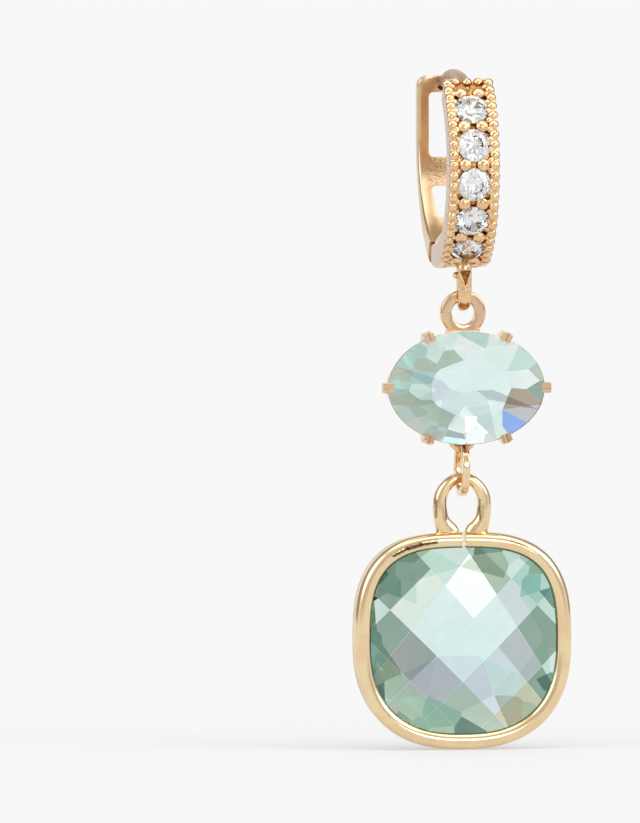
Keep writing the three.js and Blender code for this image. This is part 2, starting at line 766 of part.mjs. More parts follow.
/** Frame of the cushion drop: bezel and loop in one piece, with the slit between the loop's feet. */
function cushionFrame() {
  const top = BEZEL.z + BEZEL.halfHeight;
  const slit = block(
    new THREE.Vector3(-BEZEL.slitHalfWidth, BEZEL.front - 1, top - 2),
    new THREE.Vector3(BEZEL.slitHalfWidth, BEZEL.front + BEZEL.depth + 1, top + 0.45),
  );
  return geometryOf(cut(joined([bezel(), wireLoop()].map(solid)), [solid(slit)]));
}

/** How far out a place on the stone's face lies, as a share of the way to the frame's outline. */
function shareOfOutline(x, z) {
  const power = z > 0 ? BEZEL.squareTop : BEZEL.squareFoot;
  const sum = Math.abs(x / BEZEL.halfWidth) ** power + Math.abs(z / BEZEL.halfHeight) ** power;
  return sum ** (1 / power);
}

/** One corner of the crown's grid: on a shallow dome, and low enough to pass under the frame's lip. */
function crownCorner(x, z, girdleY) {
  const { crown, domeRadius, gridEdge, edgeSlope, inset } = CUSHION;
  const reach = shareOfOutline(x, z);
  const pull = Math.min(1, gridEdge / reach);
  const toEdge = BEZEL.halfWidth * (1 - pull * reach) - inset;
  const dome = crown * (1 - (x * x + z * z) / domeRadius ** 2);
  return new THREE.Vector3(pull * x, girdleY - Math.min(dome, edgeSlope * toEdge), BEZEL.z + pull * z);
}

/** Corners of the checkerboard crown: a diagonal grid. */
function crownCorners(girdleY) {
  const { facet, gridReach } = CUSHION;
  const steps = Math.ceil(BEZEL.halfWidth / facet);
  const corners = [];
  for (let i = -steps; i <= steps; i += 1) {
    for (let j = -steps; j <= steps; j += 1) {
      const isCorner = (i + j) % 2 !== 0;
      const [x, z] = [i * facet, j * facet];
      if (isCorner && shareOfOutline(x, z) < gridReach) corners.push(crownCorner(x, z, girdleY));
    }
  }
  return corners;
}

/** Cushion stone with a checkerboard crown and a pointed back. */
function cushionStone() {
  const { inset, girdleY, girdle, pavilion } = CUSHION;
  return new ConvexGeometry([
    ...crownCorners(girdleY - girdle),
    ...outlineRing(32, inset, girdleY - girdle),
    ...outlineRing(32, inset, girdleY + girdle),
    ...outlineRing(8, inset + 2.6, girdleY + 0.56 * pavilion, 0.5),
    ...outlineRing(8, inset + 5.4, girdleY + 0.88 * pavilion),
    new THREE.Vector3(0, girdleY + pavilion, BEZEL.z),
  ]);
}

// ---------------------------------------------------------------- assembly

/** A named mesh with its own material. */
function piece(name, geometry, look) {
  const mesh = new THREE.Mesh(geometry, new THREE.MeshStandardMaterial(look));
  mesh.name = name;
  return mesh;
}

/** The whole earring, with its origin at the middle of the post. */
function earring() {
  const group = new THREE.Group();
  group.add(piece('hoop_front', hoopFront(), GOLD));
  for (let i = 0; i < PAVE.count; i += 1) group.add(piece(`pave_stone_${i + 1}`, paveStone(i), CLEAR));
  group.add(piece('ear_post', earPost(), GOLD));
  group.add(piece('hoop_back', hoopBack(), GOLD));
  group.add(piece('hinge_pin', hingePin(), GOLD));
  group.add(piece('oval_setting', ovalSetting(), GOLD));
  group.add(piece('oval_stone', ovalStone(), AQUA));
  group.add(piece('jump_ring', jumpRing(), GOLD));
  group.add(piece('cushion_frame', cushionFrame(), GOLD));
  group.add(piece('cushion_stone', cushionStone(), AQUA));
  group.position.set(0, -SEAT.y, -SEAT.z);
  return group;
}

export default earring();
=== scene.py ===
"""Dresses a hinged huggie earring: a hoop set with clear stones, and two stones that hang from it.

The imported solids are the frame. Every size here is in millimetres from the middle of the hoop, whose
place the hinge pin gives, and each finished piece is handed over to the frame in metres.
"""

from __future__ import annotations

import logging
import math
from dataclasses import dataclass, field
from enum import Enum
from typing import Sequence, Union

import bmesh
import bpy
import numpy as np
from mathutils import Matrix, Vector
from mathutils.geometry import intersect_line_plane, intersect_plane_plane


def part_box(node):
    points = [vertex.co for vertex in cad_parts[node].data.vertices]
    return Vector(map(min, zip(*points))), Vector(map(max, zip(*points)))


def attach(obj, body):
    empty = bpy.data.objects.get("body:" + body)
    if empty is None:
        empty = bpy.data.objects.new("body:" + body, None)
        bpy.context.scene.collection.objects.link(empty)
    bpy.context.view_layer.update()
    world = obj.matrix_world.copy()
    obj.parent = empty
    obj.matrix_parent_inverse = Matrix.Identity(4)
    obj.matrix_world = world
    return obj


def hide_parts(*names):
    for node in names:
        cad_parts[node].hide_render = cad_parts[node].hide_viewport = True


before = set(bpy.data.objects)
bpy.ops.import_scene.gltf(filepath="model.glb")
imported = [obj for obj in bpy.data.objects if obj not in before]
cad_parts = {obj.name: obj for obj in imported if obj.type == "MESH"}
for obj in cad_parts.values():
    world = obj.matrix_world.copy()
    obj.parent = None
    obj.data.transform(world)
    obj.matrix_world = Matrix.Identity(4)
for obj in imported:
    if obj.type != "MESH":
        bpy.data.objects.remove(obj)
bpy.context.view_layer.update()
LOG = logging.getLogger("huggie_earring")

MM = 0.001
# each facet's painted reflection and shade, carried as a colour attribute
PAINTED_FACET_LIGHT = "painted_facet_light"  # the attribute that carries each facet's tint
Colour = tuple[float, float, float, float]
Point = tuple[float, float, float]
Corner = tuple[float, float, float]  # two coordinates, and the radius that the corner is rounded by
Spot = tuple[Vector, Vector]  # a place, and the way that it faces
ACROSS = Vector((1, 0, 0))
BACK = Vector((0, 1, 0))
UP = Vector((0, 0, 1))
PIN = Vector((0, 0.2, -8.3))  # the hinge pin, from the middle of the hoop


class Slot(Enum):
    """The record's material slots."""

    GOLD = "gold_metal"
    CLEAR = "clear_stone"
    AQUA = "aqua_stone"


class PaintedFacetLight(Enum):
    """Painted reflection and shade of a facet: how much of each colour it lets through, in place of what its
    refraction would show.
    """

    CLEAR = (1.0, 1.0, 1.0, 1)
    CREAM = (0.96, 0.93, 0.80, 1)
    LILAC = (0.70, 0.66, 0.74, 1)
    GREY = (0.39, 0.36, 0.39, 1)
    SLATE = (0.18, 0.18, 0.17, 1)
    TAN = (0.64, 0.44, 0.28, 1)
    UMBER = (0.27, 0.165, 0.10, 1)
    MINT = (0.66, 0.84, 0.74, 1)
    AQUA = (0.30, 0.56, 0.48, 1)
    SAGE = (0.32, 0.40, 0.28, 1)
    LEAF = (0.12, 0.20, 0.145, 1)
    TEAL = (0.07, 0.15, 0.14, 1)
    BLUE = (0.10, 0.22, 0.85, 1)


class Solder(Enum):
    """The two ways that one solid is worked with another."""

    JOIN = "UNION"
    CUT = "DIFFERENCE"


def hoop_middle() -> Vector:
    """The middle of the hoop in the frame's metres.

    Returns:
        The point that this file's millimetres are counted from.
    """
    low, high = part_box("hinge_pin")
    return (low + high) / 2 - PIN * MM


def direction(azimuth: float, elevation: float) -> Vector:
    """The way to a place round the earring, from angles in degrees. At azimuth 0 it lies in front."""
    turn, rise = math.radians(azimuth), math.radians(elevation)
    return Vector((math.sin(turn) * math.cos(rise), -math.cos(turn) * math.cos(rise), math.sin(rise)))


def put_in_scene(name: str, data: bpy.types.Mesh | bpy.types.Camera) -> bpy.types.Object:
    """Makes an object and puts it in the scene.

    Args:
        name: Its name.
        data: Its mesh or its camera.

    Returns:
        The object.
    """
    item = bpy.data.objects.new(name, data)
    bpy.context.scene.collection.objects.link(item)
    return item


# ---------------------------------------------------------------- shader maths


class Signal:
    """An output socket that can be used in arithmetic."""

    def __init__(self, bench: Bench, socket: bpy.types.NodeSocket) -> None:
        """Wraps a socket of a bench's tree."""
        self.bench = bench
        self.socket = socket

    def _math(self, operation: str, first: Number, second: Number) -> Signal:
        """Adds one Math node.

        Args:
            operation: The Math node's operation.
            first: Its first value.
            second: Its second value.

        Returns:
            The node's value.
        """
        return self.bench.node("ShaderNodeMath", {"operation": operation}, {0: first, 1: second})

    def __add__(self, other: Number) -> Signal:
        """Sum."""
        return self._math("ADD", self, other)

    def __radd__(self, other: Number) -> Signal:
        """Sum, the other way round."""
        return self._math("ADD", other, self)

    def __sub__(self, other: Number) -> Signal:
        """Difference."""
        return self._math("SUBTRACT", self, other)

    def __rsub__(self, other: Number) -> Signal:
        """Difference, the other way round."""
        return self._math("SUBTRACT", other, self)

    def __mul__(self, other: Number) -> Signal:
        """Product."""
        return self._math("MULTIPLY", self, other)

    def __rmul__(self, other: Number) -> Signal:
        """Product, the other way round."""
        return self._math("MULTIPLY", other, self)

    def __pow__(self, other: Number) -> Signal:
        """Power."""
        return self._math("POWER", self, other)

    def __abs__(self) -> Signal:
        """Size without its sign."""
        return self._math("ABSOLUTE", self, 0.0)


Number = Union[Signal, float]


class Bench:
    """A node tree, and the ways that nodes are added to it."""

    def __init__(self, tree: bpy.types.NodeTree) -> None:
        """Clears the tree for new nodes."""
        self.tree = tree
        tree.nodes.clear()

    def node(self, kind: str, settings: dict | None = None, inputs: dict | None = None,
             output: int | str = 0) -> Signal:
        """Adds one node.

        Args:
            kind: The node's type.
            settings: Its own settings, set before anything else.
            inputs: Values or signals for its sockets, by number or name.
            output: Which of its outputs is wanted.

        Returns:
            That output.
        """
        made = self.tree.nodes.new(kind)
        for name, value in (settings or {}).items():
            setattr(made, name, value)
        for key, value in (inputs or {}).items():
            if isinstance(value, Signal):
                self.tree.links.new(value.socket, made.inputs[key])
            else:
                made.inputs[key].default_value = value
        if not made.outputs:
            return Signal(self, made.inputs[0])
        return Signal(self, made.outputs[output])

    def vector(self, operation: str, first: Signal | Vector | Point, second: Signal | Vector,
               output: str = "Vector") -> Signal:
        """Works on two vectors."""
        return self.node("ShaderNodeVectorMath", {"operation": operation}, {0: first, 1: second}, output)

    def scaled(self, vector: Signal | Vector, share: Number) -> Signal:
        """A vector times a number."""
        return self.node("ShaderNodeVectorMath", {"operation": "SCALE"}, {0: vector, "Scale": share})

    def blend(self, share: Number, first: Signal | Colour, second: Signal | Colour,
              how: str = "MIX") -> Signal:
        """Mixes two colours."""
        settings = {"data_type": "RGBA", "blend_type": how}
        return self.node("ShaderNodeMix", settings, {0: share, 6: first, 7: second}, 2)

    def step(self, value: Signal, low: float, high: float) -> Signal:
        """Rises smoothly from 0 at low to 1 at high."""
        settings = {"interpolation_type": "SMOOTHSTEP"}
        return self.node("ShaderNodeMapRange", settings, {0: value, 1: low, 2: high, 3: 0.0, 4: 1.0})

    def noise(self, point: Signal, per_mm: float, detail: float = 2.0) -> Signal:
        """Cloudy noise from 0 to 1, with a scale in features per millimetre."""
        return self.node("ShaderNodeTexNoise", None, {"Vector": point, "Scale": per_mm, "Detail": detail})

    def place(self) -> Signal:
        """Where a point of the piece lies, in millimetres from the middle of the hoop."""
        here = self.node("ShaderNodeTexCoord", None, None, "Object")
        return self.scaled(self.vector("SUBTRACT", here, hoop_middle()), 1 / MM)

    def axes(self, point: Signal) -> tuple[Signal, Signal, Signal]:
        """The three coordinates of a point."""
        return tuple(self.node("ShaderNodeSeparateXYZ", None, {0: point}, axis) for axis in "XYZ")


def bare_material(name: str) -> tuple[bpy.types.Material, Bench]:
    """Starts a material.

    Args:
        name: Its name.

    Returns:
        The material, and the bench that its nodes are added on.
    """
    material = bpy.data.materials.new(name)
    material.use_nodes = True
    return material, Bench(material.node_tree)


# ---------------------------------------------------------------- finishes


@dataclass(frozen=True, kw_only=True)
class Patch:
    """A soft-edged part of a casting, which is left crinkled and may be pitted.

    With painted shade it is smooth, and only takes on that colour.
    """

    fade: float
    crinkle: float = 0.0
    pits: float = 0.0
    tone: Colour | None = None

    def mask(self, bench: Bench, point: Signal) -> Signal:
        """How far a point is inside: 1 inside, 0 outside."""
        raise NotImplementedError


@dataclass(frozen=True)
class Region(Patch):
    """A patch in the shape of a box."""

    low: Point
    high: Point

    def mask(self, bench: Bench, point: Signal) -> Signal:
        """How far a point is inside the box.

        Args:
            bench: The material's tree.
            point: The point, in millimetres.

        Returns:
            1 inside, 0 outside.
        """
        inside: Number = 1.0
        for value, low, high in zip(bench.axes(point), self.low, self.high):
            rising = bench.step(value, low - self.fade, low + self.fade)
            falling = bench.step(value, high - self.fade, high + self.fade)
            inside = rising * (1.0 - falling) * inside
        return inside


@dataclass(frozen=True)
class Streak(Patch):
    """A patch in the shape of a round-ended rod."""

    start: Point
    end: Point
    radius: float

    def mask(self, bench: Bench, point: Signal) -> Signal:
        """How far a point is inside the rod.

        Args:
            bench: The material's tree.
            point: The point, in millimetres.

        Returns:
            1 inside, 0 outside.
        """
        run = Vector(self.end) - Vector(self.start)
        offset = bench.vector("SUBTRACT", point, self.start)
        along = bench.vector("DOT_PRODUCT", offset, run / run.length_squared, "Value")
        nearest = bench.scaled(run, bench.node("ShaderNodeClamp", None, {"Value": along}))
        aside = bench.vector("DISTANCE", offset, nearest, "Value")
        return 1.0 - bench.step(aside, self.radius - self.fade, self.radius + self.fade)


def pitted_line(points: Sequence[Point], radii: Sequence[float]) -> tuple[Streak, ...]:
    """Dark streaks from each point to the next."""
    ends = zip(points, points[1:], radii)
    return tuple(Streak(*end, fade=0.16, crinkle=0.02, pits=0.9) for end in ends)


@dataclass(frozen=True)
class ShadedGround:
    """The floor between the rails of the front arm: rougher, as the polish doesn't reach it, and painted
    darker as shade in the recess.
    """

    centre_z: float
    floor: float
    top: float
    half_width: float

    def mask(self, bench: Bench, point: Signal) -> Signal:
        """How deep a point lies in the ground.

        Args:
            bench: The material's tree.
            point: The point, in millimetres.

        Returns:
            1 on the floor, 0 on the rails and the tops of the grains.
        """
        x, y, z = bench.axes(point)
        height = z - self.centre_z
        radius = (y * y + height * height) ** 0.5
        low = 1.0 - bench.step(radius, self.floor, self.top)
        between = 1.0 - bench.step(abs(x), self.half_width - 0.1, self.half_width + 0.15)
        outside = bench.step(radius, self.floor - 0.9, self.floor - 0.7)  # not the band's inner face
        return low * between * outside


@dataclass(frozen=True)
class GoldFinish:
    """Polished pale gold plate over a casting."""

    name: str
    bright: Colour = (0.88, 0.67, 0.43, 1)
    rosy: Colour = (0.84, 0.59, 0.37, 1)
    # deep: painted shade, for the sunken ground and for the hollows of crinkles
    deep: Colour = (0.40, 0.16, 0.035, 1)
    pit: Colour = (0.05, 0.028, 0.012, 1)
    roughness: float = 0.09
    edge: float = 0.05
    ground: ShadedGround | None = None
    cast: tuple[Patch, ...] = ()

    def build(self) -> bpy.types.Material:
        """Makes the material.

        Returns:
            The finished material.
        """
        material, bench = bare_material(self.name)
        point = bench.place()
        clouds = bench.noise(point, 0.55, 3.0)  # the plate's broad unevenness
        grain = bench.noise(point, 5.0, 3.0)  # and its fine one
        colour = bench.blend(bench.step(clouds, 0.35, 0.65), self.bright, self.rosy)
        roughness = self.roughness + 0.05 * bench.step(clouds, 0.4, 0.7) + 0.04 * grain
        height = 0.004 * clouds + 0.0012 * grain  # in millimetres, as everywhere below
        if self.ground:
            # painted shade on the sunken ground, which is also rougher
            ground_shade = self.ground.mask(bench, point)
            colour = bench.blend(ground_shade * 0.9, colour, self.deep)
            roughness = roughness + 0.12 * ground_shade
            height = height + 0.02 * ground_shade * bench.noise(point, 3.0)
        for patch in self.cast:
            inside = patch.mask(bench, point)
            # a patch of painted shade only takes on its colour, and is rougher
            if patch.tone:
                colour = bench.blend(inside, colour, patch.tone)
                roughness = roughness + 0.15 * inside
                continue
            crinkle = bench.noise(point, 5.0, 4.0)
            # painted shade in the hollows of the crinkle
            colour = bench.blend(inside * 0.35 * bench.step(crinkle, 0.55, 0.4), colour, self.deep)
            if patch.pits:
                specks = bench.step(bench.noise(point, 9.0, 3.0) + 0.9 * inside, 0.88, 1.18)
                colour = bench.blend(inside * specks * patch.pits, colour, self.pit)
            height = height + patch.crinkle * inside * crinkle
        softened = bench.node("ShaderNodeBevel", {"samples": 6}, {"Radius": self.edge * MM})
        normal = bench.node("ShaderNodeBump", None, {
            "Strength": 1.0, "Distance": MM, "Height": height, "Normal": softened,
        })
        surface = bench.node("ShaderNodeBsdfPrincipled", None, {
            "Base Color": colour, "Metallic": 1.0, "Roughness": roughness, "Normal": normal,
        })
        bench.node("ShaderNodeOutputMaterial", None, {"Surface": surface})
        return material


@dataclass(frozen=True)
class StoneFinish:
    """Cut and polished glass, whose facets may each have painted reflection and shade of their own."""

    name: str
    ior: float
    body: Colour
    density: float
    haze: Colour = (0.90, 0.93, 0.92, 1)

    def build(self) -> bpy.types.Material:
        """Makes the material.

        Returns:
            The finished material.
        """
        material, bench = bare_material(self.name)
        point = bench.place()
        # each facet's painted reflection and shade, which sets the glass's base colour
        painted_light = bench.node("ShaderNodeAttribute", {"attribute_name": PAINTED_FACET_LIGHT}, None, "Color")
        clouds = bench.step(bench.noise(point, 0.8), 0.3, 0.7)
        colour = bench.blend(clouds * 0.5, painted_light, self.haze, "MULTIPLY")
        polish = bench.noise(point, 1.5) * 0.012
        surface = bench.node("ShaderNodeBsdfPrincipled", None, {
            "Base Color": colour, "Roughness": polish, "IOR": self.ior, "Transmission Weight": 1.0,
        })
        inside = bench.node("ShaderNodeVolumeAbsorption", None,
                            {"Color": self.body, "Density": self.density})
        bench.node("ShaderNodeOutputMaterial", None, {"Surface": surface, "Volume": inside})
        return material


# ---------------------------------------------------------------- solids


def soften(corners: Sequence[Corner], steps: int = 4) -> np.ndarray:
    """Rounds the corners of a closed outline.

    Args:
        corners: Each corner's two coordinates and the radius that it is rounded by.
        steps: How many edges a rounded corner gets.

    Returns:
        The outline's points, one row each.
    """
    points = []
    places = [Vector(corner[:2]) for corner in corners]
    for i, (here, corner) in enumerate(zip(places, corners)):
        radius = corner[2]
        if radius <= 0:
            points.append(here)
            continue
        before = (places[i - 1] - here).normalized() * radius
        after = (places[(i + 1) % len(places)] - here).normalized() * radius
        for step in range(steps + 1):
            t = step / steps
            points.append(here + before * (1 - t) ** 2 + after * t ** 2)
    return np.array(points)


def box_section(half_wide: float, half_tall: float, radius: float, steps: int = 4) -> np.ndarray:
    """A rectangle with rounded corners."""
    w, t = half_wide, half_tall
    return soften([(-w, -t, radius), (-w, t, radius), (w, t, radius), (w, -t, radius)], steps)


def oval_section(half_wide: float, half_tall: float, sides: int = 24) -> np.ndarray:
    """An ellipse."""
    turn = 2 * np.pi * (np.arange(sides) + 0.5) / sides
    return np.stack([half_wide * np.cos(turn), half_tall * np.sin(turn)], axis=1)


def smooth_line(points: Sequence[Sequence[float]], count: int) -> np.ndarray:
    """Runs a smooth curve through points.

    Args:
        points: The points that the curve goes through. They may have any number of coordinates.
        count: How many points to return.

    Returns:
        Points of the curve, evenly spaced along it.
    """
    knots = np.array(points, float)
    knots = np.vstack([2 * knots[0] - knots[1], knots, 2 * knots[-1] - knots[-2]])
    dense = []
    for p0, p1, p2, p3 in zip(knots, knots[1:], knots[2:], knots[3:]):
        gaps = [max(np.linalg.norm(b - a) ** 0.5, 1e-6) for a, b in ((p0, p1), (p1, p2), (p2, p3))]
        start = (p1 - p0) / gaps[0] - (p2 - p0) / (gaps[0] + gaps[1]) + (p2 - p1) / gaps[1]
        end = (p2 - p1) / gaps[1] - (p3 - p1) / (gaps[1] + gaps[2]) + (p3 - p2) / gaps[2]
        t = np.linspace(0, 1, 24, endpoint=False)[:, None]
        bend = (2 * t ** 3 - 3 * t ** 2 + 1) * p1 + (3 * t ** 2 - 2 * t ** 3) * p2
        dense.append(bend + ((t ** 3 - 2 * t ** 2 + t) * start + (t ** 3 - t ** 2) * end) * gaps[1])
    line = np.vstack([*dense, knots[-2:-1]])
    run = run_along(line)
    at = np.linspace(0, run[-1], count)
    return np.stack([np.interp(at, run, line[:, k]) for k in range(line.shape[1])], axis=1)


def unit(rows: np.ndarray) -> np.ndarray:
    """Each row as a direction."""
    return rows / np.linalg.norm(rows, axis=-1, keepdims=True)


def run_along(line: np.ndarray) -> np.ndarray:
    """How far along a line each of its points lies."""
    return np.concatenate([[0], np.cumsum(np.linalg.norm(np.diff(line, axis=0), axis=1))])


def mirrored(side: Sequence[Sequence[float]]) -> list[tuple[float, ...]]:
    """The other side of an outline: its points in the opposite order, with the first coordinate turned."""
    return [(-x, *rest) for x, *rest in reversed(side)]


def drawn_in(share: float) -> float:
    """How far a round corner draws in, at a share of the way into it. Both are shares of its radius."""
    return 1 - math.sqrt(max(0.0, 1 - 0.97 * share ** 2))


def circle(middle: Vector, radius: float, first: Vector, second: Vector, count: int) -> np.ndarray:
    """Points of a circle, which starts at its first direction and turns towards its second."""
    turn = np.linspace(0, 2 * np.pi, count, endpoint=False)[:, None]
    return np.array(middle) + radius * (np.cos(turn) * np.array(first) + np.sin(turn) * np.array(second))


class Stock:
    """A closed solid on the bench, in millimetres from the middle of the hoop."""

    def __init__(self, shape: bmesh.types.BMesh) -> None:
        """Takes over a mesh.

        Args:
            shape: A closed mesh, which is freed.
        """
        bmesh.ops.recalc_face_normals(shape, faces=shape.faces)
        mesh = bpy.data.meshes.new("stock")
        shape.to_mesh(mesh)
        shape.free()
        self.item = put_in_scene("stock", mesh)

    @classmethod
    def skin(cls, rings: np.ndarray, closed: bool = False) -> Stock:
        """Covers a row of rings of points.

        Args:
            rings: The rings, as an array of ring, point and coordinate.
            closed: Whether the last ring meets the first. If not, both ends are capped.

        Returns:
            The solid.
        """
        shape = bmesh.new()
        rows = [[shape.verts.new(point) for point in ring] for ring in rings]
        pairs = zip(rows, rows[1:] + rows[:1]) if closed else zip(rows, rows[1:])
        for here, following in pairs:
            for k in range(len(here)):
                n = (k + 1) % len(here)
                shape.faces.new((here[k], here[n], following[n], following[k]))
        if not closed:
            shape.faces.new(rows[0])
            shape.faces.new(rows[-1])
        return cls(shape)

    @classmethod
    def sweep(cls, line: np.ndarray, sections: Sequence[np.ndarray], side: Vector = ACROSS,
              closed: bool = False) -> Stock:
        """Carries a section along a line that lies in a plane.

        Args:
            line: Points of the line.
            sections: One section for each point, or a single one for all. Its first coordinate runs along
                side, and its second one across the line.
            side: The plane's normal.
            closed: Whether the line is a closed loop.

        Returns:
            The solid.
        """
        if closed:
            along = unit(np.roll(line, -1, axis=0) - np.roll(line, 1, axis=0))
        else:
            along = unit(np.gradient(line, axis=0))
        out = np.cross(np.array(side), along) * -1
        if len(sections) == 1:
            sections = list(sections) * len(line)
        rings = [
            at + section[:, :1] * np.array(side) + section[:, 1:] * normal
            for at, normal, section in zip(line, out, sections)
        ]
        return cls.skin(np.array(rings), closed)

    @classmethod
    def rod(cls, start: Vector, end: Vector, radius: float, sides: int = 40) -> Stock:
        """A cylinder between two points.

        Args:
            start: The middle of one end.
            end: The middle of the other.
            radius: Its radius.
            sides: How many sides it has.

        Returns:
            The solid.
        """
        shape = bmesh.new()
        turn = (end - start).to_track_quat("Z", "Y").to_matrix().to_4x4()
        matrix = Matrix.Translation((start + end) / 2) @ turn
        bmesh.ops.create_cone(shape, cap_ends=True, segments=sides, radius1=radius, radius2=radius,
                              depth=(end - start).length, matrix=matrix)
        return cls(shape)

    @classmethod
    def axle(cls, half_length: float, radius: float, sides: int = 40) -> Stock:
        """A cylinder on the hinge's axis."""
        return cls.rod(PIN - ACROSS * half_length, PIN + ACROSS * half_length, radius, sides)

    @classmethod
    def block(cls, low: Sequence[float], high: Sequence[float]) -> Stock:
        """A block with its sides along the axes.

        Args:
            low: Its lowest corner.
            high: Its highest corner.

        Returns:
            The solid.
        """
        shape = bmesh.new()
        size = Vector(high) - Vector(low)
        matrix = Matrix.Translation((Vector(high) + Vector(low)) / 2) @ Matrix.Diagonal((*size, 1))
        bmesh.ops.create_cube(shape, size=1.0, matrix=matrix)
        return cls(shape)

    @classmethod
    def plate(cls, outline: np.ndarray, low: float, high: float) -> Stock:
        """A flat shape with thickness, seen from the front.

        Args:
            outline: Its points, across and up.
            low: The depth of its front.
            high: The depth of its back.

        Returns:
            The solid.
        """
        return cls.skin(np.array([[(x, depth, z) for x, z in outline] for depth in (low, high)]))

    @classmethod
    def turned(cls, profile: Sequence[tuple[float, float]], at: Vector, axis: Vector,
               sides: int = 40) -> Stock:
        """A shape turned on a lathe.

        Args:
            profile: Radius and height of each point, from one end of the axis to the other.
            at: Where height 0 lies.
            axis: The direction in which heights are counted.
            sides: How many sides it has.

        Returns:
            The solid.
        """
        turn = np.linspace(0, 2 * np.pi, sides, endpoint=False)
        rings = [[(r * math.cos(a), r * math.sin(a), h) for a in turn] for r, h in profile]
        matrix = Matrix.Translation(at) @ axis.to_track_quat("Z", "Y").to_matrix().to_4x4()
        placed = [[tuple(matrix @ Vector(point)) for point in ring] for ring in rings]
        return cls.skin(np.array(placed))

    @classmethod
    def hinge_drum(cls, half: Sequence[tuple[float, float]], sides: int) -> Stock:
        """A shape turned on the hinge's axis, the same at both ends, from one half of its profile."""
        profile = [(radius, -reach) for radius, reach in reversed(half)] + list(half)
        return cls.turned(profile, PIN, ACROSS, sides)

    @classmethod
    def beads(cls, places: Sequence[Spot], radius: float, sides: int = 18, flat: float = 1.0) -> Stock:
        """Round beads that don't touch each other.

        Args:
            places: Each bead's middle, and the direction of its pole.
            radius: Their radius.
            sides: How many sides each has.
            flat: How tall they are, as a share of their width.

        Returns:
            All of them as one solid.
        """
        shape = bmesh.new()
        for at, pole in places:
            matrix = Matrix.Translation(at) @ pole.to_track_quat("Z", "Y").to_matrix().to_4x4()
            matrix = matrix @ Matrix.Diagonal((1, 1, flat, 1))
            bmesh.ops.create_uvsphere(shape, u_segments=sides, v_segments=sides // 2 + 1, radius=radius,
                                      matrix=matrix)
        return cls(shape)

    def work(self, how: Solder, *others: Stock) -> Stock:
        """Joins other solids to this one, or cuts them out of it. They are used up.

        Args:
            how: Whether to join or to cut.
            others: The other solids.

        Returns:
            This solid.
        """
        for other in others:
            modifier = self.item.modifiers.new("work", "BOOLEAN")
            modifier.operation = how.value
            modifier.solver = "MANIFOLD"
            modifier.object = other.item
            graph = bpy.context.evaluated_depsgraph_get()
            mesh = bpy.data.meshes.new_from_object(self.item.evaluated_get(graph))
            self.item.modifiers.clear()
            self.item.data = mesh
            bpy.data.objects.remove(other.item)
        return self

    def join(self, *others: Stock) -> Stock:
        """Solders other solids on."""
        return self.work(Solder.JOIN, *others)

    def cut(self, *others: Stock) -> Stock:
        """Cuts other solids out."""
        return self.work(Solder.CUT, *others)

    def hand_over(self, name: str, body: str, node: str, slot: Slot, finish: bpy.types.Material,
                  crease: float = 35.0) -> bpy.types.Object:
        """Brings the finished solid into the frame.

        Args:
            name: The piece's name.
            body: The body that it moves with.
            node: The plain solid that it stands for.
            slot: The record's slot that its finish belongs to. It is not used.
            finish: Its material.
            crease: Edges sharper than this, in degrees, stay crisp. At 0 every face is flat.

        Returns:
            The piece.
        """
        item = self.item
        item.name = name
        item.data.name = name
        item.data.transform(Matrix.Translation(hoop_middle()) @ Matrix.Scale(MM, 4))
        if crease > 0:
            item.data.shade_smooth()
            item.data.set_sharp_from_angle(angle=math.radians(crease))
        else:
            item.data.shade_flat()
        item.data.materials.clear()
        item.data.materials.append(finish)
        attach(item, body)
        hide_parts(node)
        LOG.info("%s: %d faces, rides on %s", name, len(item.data.polygons), body)
        return item


# ---------------------------------------------------------------- stones


